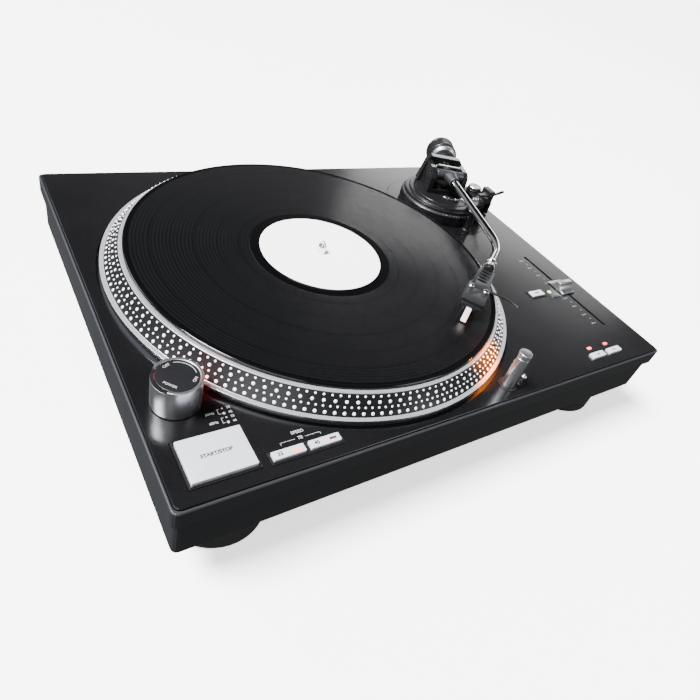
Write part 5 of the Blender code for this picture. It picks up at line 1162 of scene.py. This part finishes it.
# ---- floor, light, camera
floorPaint = Finish("studioFloor", (0.9, 0.9, 0.9), 0.5)
cloud = floorPaint.noise(2.0, 3.0)
floorPaint.feed("Base Color", floorPaint.mix(cloud, (0.89, 0.89, 0.9), (0.92, 0.92, 0.92)))
floorPaint.shader.inputs["Emission Color"].default_value = (1, 1, 1, 1)
floorPaint.shader.inputs["Emission Strength"].default_value = 1.4
floorMesh = bpy.data.meshes.new("floor")
reach = 14.0  # metres, past every view of it
floorMesh.from_pydata([(x * reach, y * reach, 0) for x, y in ((-1, -1), (1, -1), (1, 1), (-1, 1))], [], [(0, 1, 2, 3)])
floorMesh.materials.append(floorPaint.mat)
floor = placed("floor", floorMesh)
floor.visible_glossy = False  # the machine is lit by the lamps and the sky's gradient alone
floor.visible_diffuse = False


def lamp(name, kind, energy, spot, aim, size, color=(1, 1, 1), sizeY=None):
    data = bpy.data.lights.new(name, kind)
    data.energy = energy
    data.color = color
    if kind == "AREA":
        data.shape = "RECTANGLE"
        data.size = size
        data.size_y = sizeY or size
    else:
        data.shadow_soft_size = size
    obj = placed(name, data)
    obj.location = spot
    obj.rotation_euler = (Vector(aim) - Vector(spot)).to_track_quat("-Z", "Y").to_euler()
    return data


overhead = lamp("overheadSun", "SUN", 22, (-0.526, 0.141, 0.839), (0, 0, 0), 0)
overhead.angle = math.radians(22)
lamp("keySoftbox", "AREA", 45, (-1.7, -1.5, 1.9), (0, 0, 0.05), 1.5)
lamp("backLeftSoftbox", "AREA", 22, (-1.25, 1.6, 1.25), (0, 0, 0.08), 0.9, sizeY=1.2)
lamp("rightSoftbox", "AREA", 16, (1.3, -1.6, 1.35), (0.1, 0, 0.08), 0.9)
lamp("backRightSoftbox", "AREA", 9, (1.85, 1.3, 0.83), (0.12, 0.08, 0.08), 1.5, sizeY=0.42)
lamp("strobeSpill", "POINT", 0.05, (lensAt.x + 6 * mm * lensWay.x, lensAt.y + 6 * mm * lensWay.y, lensAt.z), (0, 0, 0),
    1.5 * mm, (1.0, 0.0, 0.0))
glowAt = Vector((lampAt.x + 4 * mm * lampWay.x, lampAt.y + 4 * mm * lampWay.y, lampAt.z))
flankAt = platterAt + (lightAt - platterAt).to_2d().normalized().to_3d() * 157 * mm
flankAt.z = panelZ + 11 * mm
glow = lamp("targetSpill", "SPOT", 1.1, glowAt, flankAt, 1.5 * mm, (1.0, 0.2, 0.0))
glow.spot_size = math.radians(112)
glow.spot_blend = 1.0

world = bpy.data.worlds.new("studio")
bpy.context.scene.world = world
world.use_nodes = True
sky = world.node_tree
spot = sky.nodes.new("ShaderNodeTexCoord")
split = sky.nodes.new("ShaderNodeSeparateXYZ")
ramp = sky.nodes.new("ShaderNodeValToRGB")
sky.links.new(spot.outputs["Generated"], split.inputs[0])
sky.links.new(split.outputs[2], ramp.inputs[0])
backdrop = sky.nodes.new("ShaderNodeMix")  # the plain pale wall behind, which lights nothing
backdrop.data_type = "RGBA"
backdrop.inputs[7].default_value = (6.0, 6.0, 6.0, 1)
path = sky.nodes.new("ShaderNodeLightPath")
sky.links.new(path.outputs["Is Camera Ray"], backdrop.inputs[0])
sky.links.new(ramp.outputs[0], backdrop.inputs[6])
sky.links.new(backdrop.outputs[2], sky.nodes["Background"].inputs[0])
tones = ((0.0, 0.16), (0.3, 0.5), (0.42, 0.2), (0.55, 0.02), (1.0, 0.008))
stops = ramp.color_ramp.elements
while len(stops) < len(tones):
    stops.new(0.5)
for element, (place, tone) in zip(stops, tones):
    element.position = place
    element.color = (tone, tone, tone, 1)

view = {"at": (-0.284061, -0.322029, 0.343576), "lens": 29.006}
camera = bpy.data.cameras.new("camera")
camera.lens = view["lens"]
camera.sensor_width = 36.0
camera.clip_start = 0.01
eye = placed("camera", camera)
eye.matrix_world = Matrix((
    (0.8303254, 0.1843887, -0.5258902, view["at"][0]), (-0.5001832, 0.6626718, -0.5573893, view["at"][1]),
    (0.2457163, 0.7258560, 0.6424614, view["at"][2]), (0, 0, 0, 1)))
bpy.context.scene.camera = eye

print("done")
